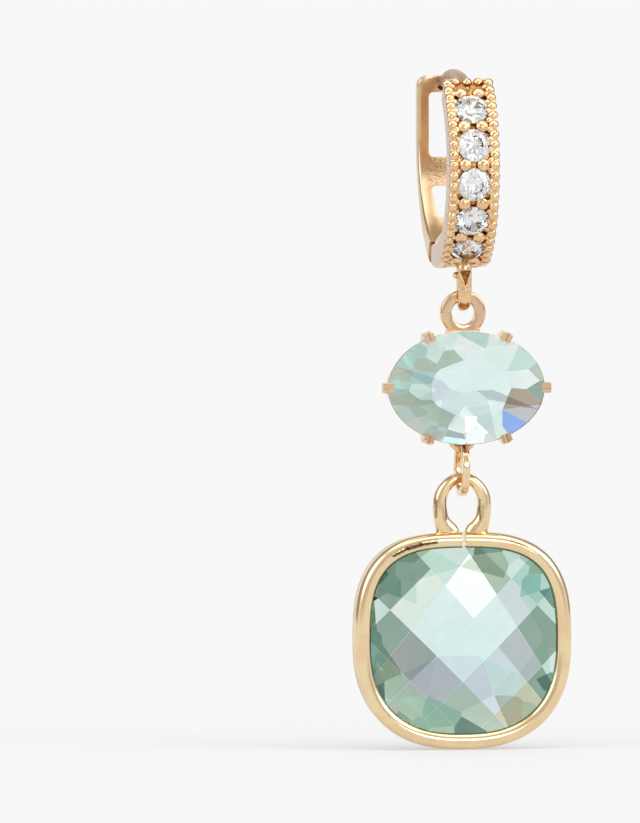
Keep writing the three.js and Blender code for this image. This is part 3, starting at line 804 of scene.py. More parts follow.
class Lapidary:
    """Grinds a stone out of a straight-sided blank, one flat facet at a time."""

    def __init__(self, outline: Sequence[Vector], axis: Vector, front: float, back: float) -> None:
        """Sets up the blank.

        Args:
            outline: The girdle's points, in the girdle's plane.
            axis: The way the stone faces.
            front: How far the blank reaches along the axis.
            back: How far it reaches the other way.
        """
        self.blank = bmesh.new()
        self.middle = sum(outline, Vector()) / len(outline)
        ends = [[self.blank.verts.new(p + axis * reach) for p in outline] for reach in (-back, front)]
        for k in range(len(outline)):
            n = (k + 1) % len(outline)
            self.blank.faces.new((ends[0][k], ends[0][n], ends[1][n], ends[1][k]))
        for end in ends:
            self.blank.faces.new(end)
        self.marks = self.blank.faces.layers.int.new("facet")
        self.painted_lights = [PaintedFacetLight.CLEAR]

    def facet(self, a: Vector, b: Vector, c: Vector, painted_light: PaintedFacetLight = PaintedFacetLight.CLEAR) -> None:
        """Grinds away all that lies outside the plane through three points.

        Args:
            a: The first point.
            b: The second point.
            c: The third point.
            painted_light: The painted reflection and shade of the facet that this leaves.
        """
        normal = (b - a).cross(c - a).normalized()
        if normal.dot(self.middle - a) > 0:
            normal.negate()
        parts = [*self.blank.verts, *self.blank.edges, *self.blank.faces]
        ground = bmesh.ops.bisect_plane(self.blank, geom=parts, dist=1e-5, plane_co=a, plane_no=normal,
                                        clear_outer=True)
        rim = [part for part in ground["geom_cut"] if isinstance(part, bmesh.types.BMEdge)]
        if len(rim) > 2:
            self.painted_lights.append(painted_light)
            for face in bmesh.ops.edgeloop_fill(self.blank, edges=rim)["faces"]:
                face[self.marks] = len(self.painted_lights) - 1

    def finish(self, bevel: float, seam_shade: PaintedFacetLight = PaintedFacetLight.GREY) -> Stock:
        """Takes the sharpness off the facets' edges.

        Args:
            bevel: The width that is taken off.
            seam_shade: The painted shade of the fine seams that this leaves.

        Returns:
            The stone.
        """
        blank = self.blank
        too_near, least = 2e-4, math.radians(5.5)
        bmesh.ops.remove_doubles(blank, verts=blank.verts, dist=too_near)
        bmesh.ops.dissolve_degenerate(blank, edges=blank.edges, dist=too_near)
        bmesh.ops.recalc_face_normals(blank, faces=blank.faces)
        edges = [
            edge for edge in blank.edges if len(edge.link_faces) == 2 and edge.calc_face_angle() > least
        ]
        ground = bmesh.ops.bevel(blank, geom=edges, offset=bevel, segments=1, affect="EDGES",
                                 clamp_overlap=True, profile=0.5)
        self.painted_lights.append(seam_shade)
        for face in ground["faces"]:
            face[self.marks] = len(self.painted_lights) - 1
        # each face takes its facet's painted reflection and shade
        shades = blank.loops.layers.float_color.new(PAINTED_FACET_LIGHT)
        for face in blank.faces:
            for loop in face.loops:
                loop[shades] = self.painted_lights[face[self.marks]].value
        return Stock(blank)


@dataclass(frozen=True)
class Touch:
    """Where a listed facet touches the dome of a crown, as shares of the way out to its right and up."""

    across: float
    up: float
    # the facet's painted reflection and shade
    painted_light: PaintedFacetLight


@dataclass
class Brilliant:
    """A round or oval brilliant: a table, a crown round it, and eight mains with long facets on the back.

    The table and the crown's corners are counted as shares of the way out. Where there are touches,
    listed facets take the place of the crown.
    """

    centre: Vector
    axis: Vector
    up: Vector
    half_width: float
    half_height: float
    girdle: float
    table_rise: float
    depth: float
    table: float = 0.56
    corner: float = 0.76
    keel: float = 0.0
    keel_drop: float = 0.0
    lower_reach: float = 0.78
    bevel: float = 0.02
    sides: int = 96
    step: float = 22.5
    dome: float = 0.0
    touches: tuple[Touch, ...] = ()
    # painted reflection and shade of the back's mains, dealt out in turn
    back_painted_lights: tuple[PaintedFacetLight, ...] = (PaintedFacetLight.CLEAR,)
    # painted shade along the bevelled edges of the facets
    seam_shade: PaintedFacetLight = PaintedFacetLight.GREY

    def _at(self, degrees: float, share: float, rise: float) -> Vector:
        """A point of the stone.

        Args:
            degrees: Its direction round the stone.
            share: How far out it lies, as a share of the way to the girdle.
            rise: Its height over the middle.

        Returns:
            The point.
        """
        turn = math.radians(degrees)
        side = self.up.cross(self.axis)
        out = side * (self.half_width * math.cos(turn)) + self.up * (self.half_height * math.sin(turn))
        return self.centre + out * share + self.axis * rise

    def _tangent(self, degrees: float) -> Vector:
        """The way that the girdle runs at a direction."""
        return self._at(degrees + 1, 1, 0) - self._at(degrees - 1, 1, 0)

    def _deep_end(self, degrees: float) -> Vector:
        """The end of the keel on the side of a direction."""
        keel = self.up.cross(self.axis) * math.copysign(self.keel, math.cos(math.radians(degrees)))
        return self.centre + keel - self.up * self.keel_drop - self.axis * self.depth

    def _touch(self, lapidary: Lapidary, place: Touch) -> None:
        """Grinds the facet that touches the crown's dome at a place.

        Args:
            lapidary: The stone that is cut.
            place: The place, and the facet's painted reflection and shade.
        """
        side = self.up.cross(self.axis)
        rise = self.girdle + self.dome * (1 - place.across ** 2 - place.up ** 2)
        at = self.centre + side * (self.half_width * place.across) + self.up * (self.half_height * place.up)
        at += self.axis * rise
        across = side - self.axis * (2 * self.dome * place.across / self.half_width)
        upwards = self.up - self.axis * (2 * self.dome * place.up / self.half_height)
        lapidary.facet(at, at + across, at + upwards, place.painted_light)

    def _crown(self, lapidary: Lapidary, main: float) -> None:
        """Grinds one main facet of the crown and the smaller ones after it.

        Args:
            lapidary: The stone that is cut.
            main: The main facet's direction, in degrees.
        """
        slope = (self.table_rise - self.girdle) / (1 - self.table)
        corner_rise = self.girdle + slope * (1 - self.corner * math.cos(math.radians(self.step)))
        edge = self._at(main, 1, self.girdle)
        top = self._at(main, self.table, self.table_rise)
        next_top = self._at(main + 2 * self.step, self.table, self.table_rise)
        side = self._at(main + self.step, self.corner, corner_rise)
        lapidary.facet(edge, edge + self._tangent(main), top)
        lapidary.facet(top, next_top, side)
        for low in (main, main + self.step):
            lapidary.facet(self._at(low, 1, self.girdle), self._at(low + self.step, 1, self.girdle), side)

    def _pavilion(self, lapidary: Lapidary, main: float, painted_light: PaintedFacetLight) -> None:
        """Grinds one main facet of the back and the two long ones after it.

        Args:
            lapidary: The stone that is cut.
            main: The main facet's direction, in degrees.
            painted_light: The main facet's painted reflection and shade.
        """
        planes = []
        for turn in (main, main + 2 * self.step):
            edge = self._at(turn, 1, -self.girdle)
            planes.append((edge, self._tangent(turn).cross(self._deep_end(turn) - edge)))
        lapidary.facet(planes[0][0], planes[0][0] + self._tangent(main), self._deep_end(main), painted_light)
        point, along = intersect_plane_plane(*planes[0], *planes[1])
        level = self.centre - self.axis * (self.girdle + (self.depth - self.girdle) * self.lower_reach)
        low = intersect_line_plane(point, point + along, level, self.axis)
        for turn in (main, main + self.step):
            edges = [self._at(turn + part, 1, -self.girdle) for part in (0, self.step)]
            lapidary.facet(*edges, low)

    def cut(self) -> Stock:
        """Cuts the stone.

        Returns:
            The finished stone.
        """
        outline = [self._at(360 * k / self.sides, 1, 0) for k in range(self.sides)]
        lapidary = Lapidary(outline, self.axis, self.table_rise, self.depth + 0.05)
        for k in range(8):
            main = (2 * k + 1) * self.step
            if not self.touches:
                self._crown(lapidary, main)
            self._pavilion(lapidary, main, self.back_painted_lights[k % len(self.back_painted_lights)])
        if self.touches:
            table = self.centre + self.axis * self.table_rise
            lapidary.facet(table, table + self.up, table + self.up.cross(self.axis))
        for place in self.touches:
            self._touch(lapidary, place)
        return lapidary.finish(self.bevel, self.seam_shade)


# ---------------------------------------------------------------- the hoop


@dataclass(frozen=True)
class FrontArc:
    """The middle line of the front arm: an arc, and the short foot that leads to the hinge."""

    centre_z: float = -0.4
    middle: float = 8.45
    top_angle: float = 55.6
    foot_angle: float = -62.0

    def outward(self, degrees: float) -> Vector:
        """The way out of the hoop at an angle above its front."""
        turn = math.radians(degrees)
        return Vector((0, -math.cos(turn), math.sin(turn)))

    def at(self, across: float, degrees: float, height: float) -> Vector:
        """A point over the middle line at an angle above the hoop's front."""
        return self.outward(degrees) * (self.middle + height) + Vector((across, 0, self.centre_z))

    def spot(self, across: float, degrees: float, height: float) -> Spot:
        """A point over the middle line, and the way out of the hoop there."""
        return self.at(across, degrees, height), self.outward(degrees)

    def line(self, count: int) -> np.ndarray:
        """Runs the whole line, from the top of the hoop to its hinge.

        Args:
            count: How many points it gets.

        Returns:
            Its points.
        """
        angles = np.linspace(self.top_angle, self.foot_angle, 21)
        arc = [tuple(self.at(0, angle, 0)) for angle in angles]
        foot = [(0, y, PIN.z - 0.02) for y in (-2.2, -1.0)]
        return smooth_line([*arc, *foot, tuple(PIN)], count)


@dataclass(frozen=True)
class PaveRow:
    """Where the five clear stones sit on the front arm."""

    count: int = 5
    first_angle: float = 33.6
    pitch: float = 21.4
    radius: float = 1.475
    girdle: float = 0.78

    def angle(self, place: float) -> float:
        """The angle of a stone, or of a place between two."""
        return self.first_angle - place * self.pitch


ARC = FrontArc()
PAVE = PaveRow()
PIN_HOLE = 0.5


@dataclass
class FrontArm:
    """The set front of the hoop, with its hinge cheeks and the bail for the drops.

    Heights of the rails, the ground, the beads and the grains are counted from the band's middle line.
    """

    half_width: float = 2.2
    inner: float = -1.12
    ground: float = 0.5
    rail: float = 0.92
    rail_inner: float = 1.7
    lip_start: float = 0.835  # where the ground rises to the rails, as a share of the arm's length
    lip_length: float = 0.03
    corner: float = 0.85
    bead: float = 0.45
    bead_height: float = 0.83
    bead_top: float = 52.4
    bead_foot: float = -63.0
    bead_pitch: float = 5.7
    bead_inset: float = 0.38
    unevenness: float = 0.045
    small_bead: float = 0.3
    small_bead_height: float = 0.78
    small_bead_reach: float = 1.46
    grain: float = 0.6
    grain_height: float = 0.8
    grain_reach: float = 0.78
    bump: float = 0.48
    bump_height: float = 0.46
    bump_pitch: float = 1.02
    bump_angle: float = 55.4
    cheek: float = 1.1
    tongue_room: float = 0.97  # half the width of the slot for the rear arm's tongue
    tongue_clearance: float = 1.2
    pin_reach: float = 1.75
    socket: float = 0.56
    bail_y: float = -3.0
    bail_depth: float = 1.2
    bail_top: float = -8.2
    bail_foot: float = -12.78
    bail_wire: float = 0.475
    bail_half_deep: float = 0.36
    bail_taper: float = 0.125  # the front leg is this much broader, and the rear leg narrower
    solder: float = 0.32
    gusset: tuple[tuple[float, float], ...] = (
        (-5.0, -5.95), (-3.4, -6.33), (-2.1, -6.66), (-1.2, -6.94), (-0.5, -7.24),
        (-0.7, -8.2), (-3.9, -8.0),
    )
    finish: GoldFinish = GoldFinish(
        "gold_set_front", bright=(0.87, 0.63, 0.38, 1), rosy=(0.84, 0.56, 0.33, 1),
        # deep is the painted shade of the sunken ground and of the crinkles
        deep=(0.52, 0.23, 0.05, 1), ground=ShadedGround(ARC.centre_z, 9.0, 9.35, 1.75),
        cast=(
            # painted shade in the bail's notch
            Region((-0.5, -4.35, -10.9), (0.5, -3.9, -9.5), fade=0.08, tone=(0.17, 0.065, 0.013, 1)),
            Region((-2.3, -12.0, -12.0), (2.3, -2.5, 8.0), fade=0.1, crinkle=0.03),
            # painted shade on both side walls of the band, greyer than its face
            Region((-3.0, -12.0, -12.0), (-2.14, 3.0, 8.0), fade=0.05, tone=(0.64, 0.49, 0.38, 1)),
            Region((2.14, -12.0, -12.0), (3.0, 3.0, 8.0), fade=0.05, tone=(0.64, 0.49, 0.38, 1)),
        ),
    )

    def _band(self) -> Stock:
        """Makes the bare band, with a channel between two rails.

        Returns:
            The band, narrowed to round corners at its top.
        """
        line = ARC.line(161)
        run = run_along(line)
        sections = []
        for along in run:
            lip = min(1.0, max(0.0, (along / run[-1] - self.lip_start) / self.lip_length))
            floor = self.ground + (self.rail - 0.06 - self.ground) * lip
            narrow = 1 - self.corner / self.half_width * drawn_in(max(0.0, 1 - along / self.corner))
            w, r = self.half_width * narrow, self.rail_inner * narrow
            left = [(-w, self.inner, 0.35), (-w, self.rail, 0.12), (-r, self.rail, 0.04)]
            left.append((-r + 0.08, floor, 0.02))
            sections.append(soften(left + mirrored(left)))
        return Stock.sweep(line, sections)

    def _seats(self) -> list[Stock]:
        """Makes the cutters for the stones' seats.

        Returns:
            One for each stone, with a narrow hole through the band behind it.
        """
        hole, mouth = 0.5, PAVE.radius - 0.01
        profile = [(hole, -2.6), (hole, -1.28), (mouth, -0.16), (mouth, 1.2)]
        angles = [PAVE.angle(row) for row in range(PAVE.count)]
        return [Stock.turned(profile, *ARC.spot(0, angle, PAVE.girdle), 56) for angle in angles]

    def _bail(self) -> Stock:
        """Makes the long wire loop under the foot.

        Returns:
            The loop, with a notch in its front leg and a drop of solder on its rear one.
        """
        radius, top = self.bail_depth, self.bail_top
        line, sections = [], []
        for centre, start in ((top - radius, 0), (self.bail_foot + radius, 180)):
            for turn in np.radians(start + np.linspace(0, 180, 25)):
                line.append((0, self.bail_y + radius * math.cos(turn), centre + radius * math.sin(turn)))
                half_wide = self.bail_wire - self.bail_taper * math.cos(turn)
                sections.append(oval_section(half_wide, self.bail_half_deep, 28))
        loop = Stock.sweep(np.array(line), sections, closed=True)
        front = self.bail_y - radius
        wedge = soften([(-0.5, top - 1.3, 0.12), (0.0, top - 2.7, 0.1), (0.5, top - 1.3, 0.12)])
        notch = Stock.plate(wedge, front - 1, front + 0.06)
        drop = Stock.beads([(Vector((-0.39, self.bail_y + 1.0, top - 1.8)), UP)], self.solder)
        return loop.cut(notch).join(drop)

    def _thick_foot(self) -> Stock:
        """The thickening of the foot just before the hinge."""
        wide = self.half_width - 0.12
        return Stock.skin(np.array([[(x, y, z) for y, z in self.gusset] for x in (-wide, wide)]))

    def _rows_of_beads(self) -> list[Stock]:
        """Makes the beaded edges, the grains that hold the stones, and the bumps at the top.

        Returns:
            Solids to join to the arm. Neighbours in a beaded edge overlap, so it comes as two solids.
        """
        rail = self.half_width - self.bead_inset
        edges: list[list[Spot]] = [[], []]
        inner: list[list[Spot]] = [[], []]
        for k in range(int((self.bead_top - self.bead_foot) / self.bead_pitch) + 1):
            angle = self.bead_top - self.bead_pitch * k
            between = angle - self.bead_pitch / 2
            for x in (-rail, rail):
                uneven = self.unevenness * math.sin(12.9 * k + x)
                edges[k % 2].append(ARC.spot(x, angle, self.bead_height + uneven))
                reach = math.copysign(self.small_bead_reach, x)
                inner[k % 2].append(ARC.spot(reach, between, self.small_bead_height - uneven))
        grains = [
            ARC.spot(x, PAVE.angle(row - 0.5), self.grain_height)
            for row in range(PAVE.count + 1) for x in (-self.grain_reach, self.grain_reach)
        ]
        bumps = [ARC.spot(k * self.bump_pitch, self.bump_angle, self.bump_height) for k in (-1, 0, 1)]
        return [
            *(Stock.beads(places, self.bead, 20, 0.74) for places in edges),
            *(Stock.beads(places, self.small_bead, 20, 0.7) for places in inner),
            Stock.beads(grains, self.grain, 26, 0.72), Stock.beads(bumps, self.bump, 22),
        ]

    def build(self) -> bpy.types.Object:
        """Builds and dresses the front arm.

        Returns:
            The piece.
        """
        w, r = self.half_width, self.cheek
        half = [(r, w - 0.42), (r - 0.05, w - 0.2), (r - 0.18, w - 0.06), (r - 0.4, w)]
        arm = self._band().join(self._thick_foot(), Stock.hinge_drum(half, 64), self._bail())
        arm.cut(*self._seats()).join(*self._rows_of_beads())
        start, after = (Vector((0, *point)) for point in EarPost().bends[:2])
        along = (after - start).normalized()
        slot = Stock.axle(self.tongue_room, self.tongue_clearance, 64)
        hole = Stock.axle(self.pin_reach, PIN_HOLE)
        arm.cut(slot, hole, Stock.rod(start - along * 0.15, after + along * 0.6, self.socket))
        crisp = 24.0  # less than the angle at which the beads meet the band's sides
        return arm.hand_over("front_arm", "root", "hoop_front", Slot.GOLD, self.finish.build(), crisp)


@dataclass
class PaveStones:
    """The five round brilliants of the front arm."""

    finish: StoneFinish = StoneFinish(
        "clear_brilliant", ior=2.12, body=(0.96, 0.965, 0.975, 1), density=60.0,
    )

    def build(self) -> list[bpy.types.Object]:
        """Builds and dresses the stones.

        Returns:
            The five pieces.
        """
        material = self.finish.build()
        pieces = []
        for row in range(PAVE.count):
            angle = PAVE.angle(row)
            out, r = ARC.outward(angle), PAVE.radius - 0.03
            up = Matrix.Rotation(math.radians(7 + 11 * row), 3, out) @ out.cross(ACROSS)
            # the bevels along the facets' edges keep the grey painted shade
            stone = Brilliant(
                centre=ARC.at(0, angle, PAVE.girdle), axis=out, up=up, half_width=r, half_height=r,
                girdle=0.035 * r, table_rise=0.34 * r, depth=0.86 * r, bevel=0.006,
            ).cut()
            name, node = f"set_stone_{row + 1}", f"pave_stone_{row + 1}"
            pieces.append(stone.hand_over(name, "root", node, Slot.CLEAR, material, 0))
        return pieces


@dataclass
class EarPost:
    """The arched wire that goes through the lobe."""

    radius: float = 0.47
    bends: tuple[tuple[float, float], ...] = (
        (-5.75, 5.7), (-4.97, 6.44), (-3.3, 7.12), (-0.8, 7.5),
        (2.3, 7.6), (4.9, 7.38), (6.7, 6.98), (7.55, 6.6),
    )
    # darker than the other gold parts: painted shade, as the post lies in shadow
    finish: GoldFinish = GoldFinish(
        "gold_post_shaded", bright=(0.57, 0.41, 0.29, 1), rosy=(0.50, 0.35, 0.25, 1), roughness=0.38,
    )

    def build(self) -> bpy.types.Object:
        """Builds and dresses the post.

        Returns:
            The piece.
        """
        line = smooth_line([(0, y, z) for y, z in self.bends], 90)
        sections = []
        for k in range(len(line)):
            to_tip = (len(line) - 1 - k) / 4  # 1 where the rounding of the tip starts, 0 at its end
            thick = self.radius * math.sqrt(max(0.03, 1 - max(0.0, 1 - to_tip) ** 2))
            sections.append(oval_section(thick, thick, 28))
        post = Stock.sweep(line, sections)
        return post.hand_over("lobe_post", "root", "ear_post", Slot.GOLD, self.finish.build())


@dataclass
class HingePin:
    """The pin of the hinge, with its ends peened over a little."""

    radius: float = 0.42
    half_length: float = 1.65
    finish: GoldFinish = GoldFinish("gold_pin", roughness=0.2)

    def build(self) -> bpy.types.Object:
        """Builds and dresses the pin.

        Returns:
            The piece.
        """
        r, end = self.radius, self.half_length
        half = [(r, end - 0.3), (r, end - 0.12), (r * 0.94, end - 0.04), (r * 0.75, end)]
        pin = Stock.hinge_drum(half, 32)
        return pin.hand_over("pin", "root", "hinge_pin", Slot.GOLD, self.finish.build())


@dataclass(frozen=True)
class Window:
    """A window through the rear arm, a little wider at one end, with rounded corners."""

    foot: float
    head: float
    half_foot: float
    half_head: float
    corner: float

    def cutter(self) -> Stock:
        """Makes the cutter for it.

        Returns:
            A plate that reaches right through the arm.
        """
        ends = ((-self.half_foot, self.foot), (self.half_foot, self.foot), (self.half_head, self.head),
                (-self.half_head, self.head))
        return Stock.plate(soften([(*end, self.corner) for end in ends], 8), 1.7, 10.0)


@dataclass
class RearArm:
    """The back of the hoop: two rails with cross bars, the hinge's tongue and the post's catch."""

    half_width: float = 2.3
    edge: float = 0.32
    top: float = 7.4
    corner: float = 0.9
    tongue: float = 1.05
    half_tongue: float = 0.86
    shoulder: float = 1.22  # the room that the front arm's cheeks turn in
    catch: float = 0.62
    windows: tuple[Window, ...] = (Window(0.2, 5.95, 1.3, 1.3, 0.5), Window(-5.1, -2.3, 1.08, 1.25, 0.45))
    path: tuple[Point, ...] = (  # how far back, how high, and half the thickness there
        (0.2, -8.3, 1.05), (1.5, -7.72, 1.02), (2.8, -6.98, 0.94), (4.4, -5.72, 0.84), (5.55, -4.4, 0.76),
        (6.45, -3.0, 0.7), (7.4, -1.1, 0.66), (7.87, 1.0, 0.65), (7.91, 3.4, 0.65), (7.91, 7.4, 0.65),
    )
    # darker than the other gold parts: painted shade
    finish: GoldFinish = GoldFinish(
        "gold_rear_arm_shaded", bright=(0.71, 0.54, 0.33, 1), rosy=(0.66, 0.47, 0.29, 1), roughness=0.17,
        cast=(Region((-1.6, 3.0, -2.4), (1.6, 7.75, 0.2), fade=0.4, crinkle=0.03),),
    )

    def _bar(self) -> Stock:
        """Makes the plain bent bar.

        Returns:
            The bar, rounded off at its top corners.
        """
        line = smooth_line(self.path, 150)
        sections = []
        for _, z, half in line:
            into = max(0.0, z - (self.top - self.corner)) / self.corner
            sections.append(box_section(self.half_width - self.corner * drawn_in(into), half, self.edge, 5))
        middles = np.stack([np.zeros(len(line)), line[:, 0], line[:, 1]], axis=1)
        return Stock.sweep(middles, sections)

    def build(self) -> bpy.types.Object:
        """Builds and dresses the rear arm.

        Returns:
            The piece.
        """
        reach = 3.2  # well past the arm on every side
        room = Vector((self.half_tongue, reach, reach))
        shoulders = Stock.axle(reach, self.shoulder, 64).cut(Stock.block(PIN - room, PIN + room))
        arm = self._bar().cut(shoulders).join(Stock.axle(self.half_tongue, self.tongue, 64))
        arm.cut(*(window.cutter() for window in self.windows), Stock.axle(reach, PIN_HOLE))
        before, tip = (Vector((0, *point)) for point in EarPost().bends[-2:])
        along = (tip - before).normalized()
        arm.cut(Stock.rod(tip - along * 1.2, tip + along * 0.3, self.catch))
        return arm.hand_over("rear_arm", "back_arm", "hoop_back", Slot.GOLD, self.finish.build())


# ---------------------------------------------------------------- the oval drop


@dataclass(frozen=True)
class Level:
    """An ellipse round the oval stone.

    It is given by how far it stands out from the stone's sides and from its top, and how far back it lies.
    """

    wide: float
    high: float
    back: float


@dataclass
class OvalDrop:
    """The oval stone in its open cup, with six cleft claws, an eye at the top and a small one below."""

    y: float = -5.2
    z: float = -19.76
    half_width: float = 6.9
    half_height: float = 4.97
    girdle: float = 0.11
    claw_turn: float = 60.5
    claw_size: float = 0.92
    claw_thick: float = 0.8
    claw_bends: tuple[tuple[float, float], ...] = (  # how far out from the stone, and how far back
        (-0.55, 2.3), (0.0, 1.0), (0.2, 0.3), (0.18, -0.3), (0.06, -0.82),
    )
    cup: tuple[Level, ...] = (  # from the rim down the outside, and back up the inside
        Level(0.04, 0.04, 0.0), Level(0.02, -0.6, 1.1), Level(-0.3, -1.0, 2.5), Level(-0.65, -1.35, 2.5),
        Level(-0.42, -0.98, 1.3), Level(-0.22, -0.66, 0.72), Level(-0.1, -0.1, 0.0),
    )
    seat: tuple[Level, ...] = (  # from the stone's crown to the cup's open back
        Level(-1.4, -1.4, -1.3), Level(-0.9, -0.9, -0.8), Level(-0.3, -0.3, -0.36),
        Level(0.03, 0.03, -0.14), Level(0.03, 0.03, 0.16), Level(-0.14, -0.14, 0.25),
        Level(-0.26, -0.69, 0.95), Level(-0.46, -1.01, 1.53), Level(-0.68, -1.38, 2.73),
        Level(-0.68, -1.38, 3.6),
    )
    eye_outer: float = 2.0
    eye_hole: float = 1.02
    eye_thick: float = 0.95
    low_eye_radius: float = 0.99
    low_eye_wire: float = 0.29
    eye: Vector = field(default_factory=lambda: Vector((0, -3.0, -13.25)))
    low_eye: Vector = field(default_factory=lambda: Vector((0, -2.7, -24.25)))
    # darker than the other gold parts: painted shade
    metal: GoldFinish = GoldFinish(
        "gold_oval_mount_shaded", bright=(0.74, 0.54, 0.32, 1), rosy=(0.72, 0.48, 0.31, 1),
    )
    stone: StoneFinish = StoneFinish("aqua_oval", ior=1.47, body=(0.08, 0.785, 0.69, 1), density=72.0)
    # each listed crown facet, with its painted reflection and shade
    touches: tuple[Touch, ...] = (
        Touch(-0.02, 0.70, PaintedFacetLight.CLEAR), Touch(0.15, 0.92, PaintedFacetLight.AQUA), Touch(0.42, 0.60, PaintedFacetLight.MINT),
        Touch(0.40, 0.86, PaintedFacetLight.MINT), Touch(0.74, 0.48, PaintedFacetLight.AQUA), Touch(0.78, 0.17, PaintedFacetLight.CLEAR),
        Touch(0.93, 0.28, PaintedFacetLight.SAGE), Touch(0.94, -0.04, PaintedFacetLight.LEAF), Touch(0.73, -0.22, PaintedFacetLight.UMBER),
        Touch(0.76, -0.45, PaintedFacetLight.GREY), Touch(0.62, -0.66, PaintedFacetLight.BLUE), Touch(0.26, -0.68, PaintedFacetLight.MINT),
        Touch(0.36, -0.84, PaintedFacetLight.MINT), Touch(0.09, -0.82, PaintedFacetLight.CLEAR), Touch(-0.08, -0.66, PaintedFacetLight.CLEAR),
        Touch(-0.17, -0.90, PaintedFacetLight.LILAC), Touch(-0.38, -0.54, PaintedFacetLight.SAGE), Touch(-0.43, -0.80, PaintedFacetLight.MINT),
        Touch(-0.62, -0.66, PaintedFacetLight.CREAM), Touch(-0.80, -0.44, PaintedFacetLight.MINT), Touch(-0.64, -0.36, PaintedFacetLight.SAGE),
        Touch(-0.78, -0.18, PaintedFacetLight.SAGE), Touch(-0.64, -0.04, PaintedFacetLight.MINT), Touch(-0.86, 0.02, PaintedFacetLight.AQUA),
        Touch(-0.82, 0.24, PaintedFacetLight.SAGE), Touch(-0.64, 0.20, PaintedFacetLight.AQUA), Touch(-0.58, 0.42, PaintedFacetLight.SAGE),
        Touch(-0.80, 0.47, PaintedFacetLight.AQUA), Touch(-0.64, 0.66, PaintedFacetLight.AQUA), Touch(-0.42, 0.60, PaintedFacetLight.MINT),
        Touch(-0.28, 0.54, PaintedFacetLight.SAGE), Touch(-0.32, 0.78, PaintedFacetLight.MINT), Touch(-0.46, 0.82, PaintedFacetLight.MINT),
    )

    def _rim(self, degrees: float, front: float, level: Level) -> Point:
        """A point of an ellipse round the stone.

        Args:
            degrees: Its direction from the stone's middle.
            front: The depth that the ellipse's own is counted from.
            level: The ellipse.

        Returns:
            The point.
        """
        turn = math.radians(degrees)
        wide, high = self.half_width + level.wide, self.half_height + level.high
        return (wide * math.cos(turn), front + level.back, self.z + high * math.sin(turn))

    def _cup(self) -> Stock:
        """Makes the cup.

        Returns:
            The cup, which narrows towards its open back.
        """
        front = self.y + self.girdle + 0.12
        rings = [[self._rim(3.0 * k, front, level) for level in self.cup] for k in range(120)]
        return Stock.skin(np.array(rings), closed=True)

    def _claw(self, degrees: float) -> Stock:
        """Makes one claw.

        Args:
            degrees: Its direction from the stone's middle.

        Returns:
            The claw, with a cleft along its head.
        """
        turn = math.radians(degrees)
        foot = Vector(self._rim(degrees, 0, Level(0, 0, 0)))
        away = Vector((math.cos(turn) / self.half_width, 0, math.sin(turn) / self.half_height)).normalized()
        across = BACK.cross(away)
        places = [foot + away * far + BACK * (self.y + depth) for far, depth in self.claw_bends]
        line = smooth_line([tuple(place) for place in places], 26)
        section = box_section(self.claw_size / 2, self.claw_thick / 2, 0.14, 3)
        claw = Stock.sweep(line, [section], across)
        head = places[-1]
        ahead = (places[-1] - places[-2]).normalized()
        up = ahead.cross(across) * 0.8
        slot = np.array([tuple(head - up), tuple(head), tuple(head + up)])
        return claw.cut(Stock.sweep(slot, [box_section(0.1, 0.42, 0)], across))

    def _seat(self) -> Stock:
        """A cutter for the stone's seat in the claws, and for the clear way behind it."""
        rings = [[self._rim(3.0 * k, self.y, level) for k in range(120)] for level in self.seat]
        return Stock.skin(np.array(rings))

    def _top_eye(self) -> Stock:
        """Makes the flat eye at the top.

        Returns:
            The eye, cut through on its left, with the foot that joins it to the cup.
        """
        y, z = self.eye.yz
        outer, hole, half = self.eye_outer, self.eye_hole, self.eye_thick / 2
        ring = circle(self.eye, (outer + hole) / 2, ACROSS, UP, 96)
        washer = Stock.sweep(ring, [box_section(half, (outer - hole) / 2, 0.2, 4)], BACK, closed=True)
        left = [(-1.42, z - 1.35, 0.1), (-1.5, z - 1.9, 0.3), (-1.75, z - 3.1, 0.1)]
        foot = Stock.plate(soften(left + mirrored(left)), y - half, y + half)
        opening = Stock.rod(self.eye - BACK * 2, self.eye + BACK * 2, hole + 0.01, 96)
        slit = Stock.block((-2.4, y - 2, z + 0.02), (-0.6, y + 0.2, z + 0.1))
        return washer.join(foot.cut(opening)).cut(slit)

    def _low_eye(self) -> Stock:
        """Makes the small eye.

        Returns:
            The round-wire eye under the cup.
        """
        wire = oval_section(self.low_eye_wire, self.low_eye_wire, 20)
        line = circle(self.low_eye, self.low_eye_radius, ACROSS, UP, 64)
        return Stock.sweep(line, [wire], BACK, closed=True)

    def build(self) -> list[bpy.types.Object]:
        """Builds and dresses the mount and its stone.

        Returns:
            Both pieces.
        """
        turns = [0, self.claw_turn, 180 - self.claw_turn, 180, 180 + self.claw_turn, 360 - self.claw_turn]
        mount = self._cup().join(self._top_eye(), self._low_eye(), *(self._claw(turn) for turn in turns))
        mount.cut(self._seat())
        gem = Brilliant(
            centre=Vector((0, self.y, self.z)), axis=-BACK, up=UP, half_width=self.half_width,
            half_height=self.half_height, girdle=self.girdle, table_rise=1.38, depth=2.55, keel=1.1,
            keel_drop=0.3, bevel=0.03, sides=128, dome=1.6, touches=self.touches, seam_shade=PaintedFacetLight.CLEAR,
            # painted reflection and shade on the back's mains: clear on the upper three, lilac and grey on
            # the rest
            back_painted_lights=(*[PaintedFacetLight.CLEAR] * 3, *[PaintedFacetLight.LILAC] * 4, PaintedFacetLight.GREY),
        ).cut()
        return [
            mount.hand_over("oval_mount", "oval_drop", "oval_setting", Slot.GOLD, self.metal.build()),
            gem.hand_over("oval_gem", "oval_drop", "oval_stone", Slot.AQUA, self.stone.build(), 0),
        ]


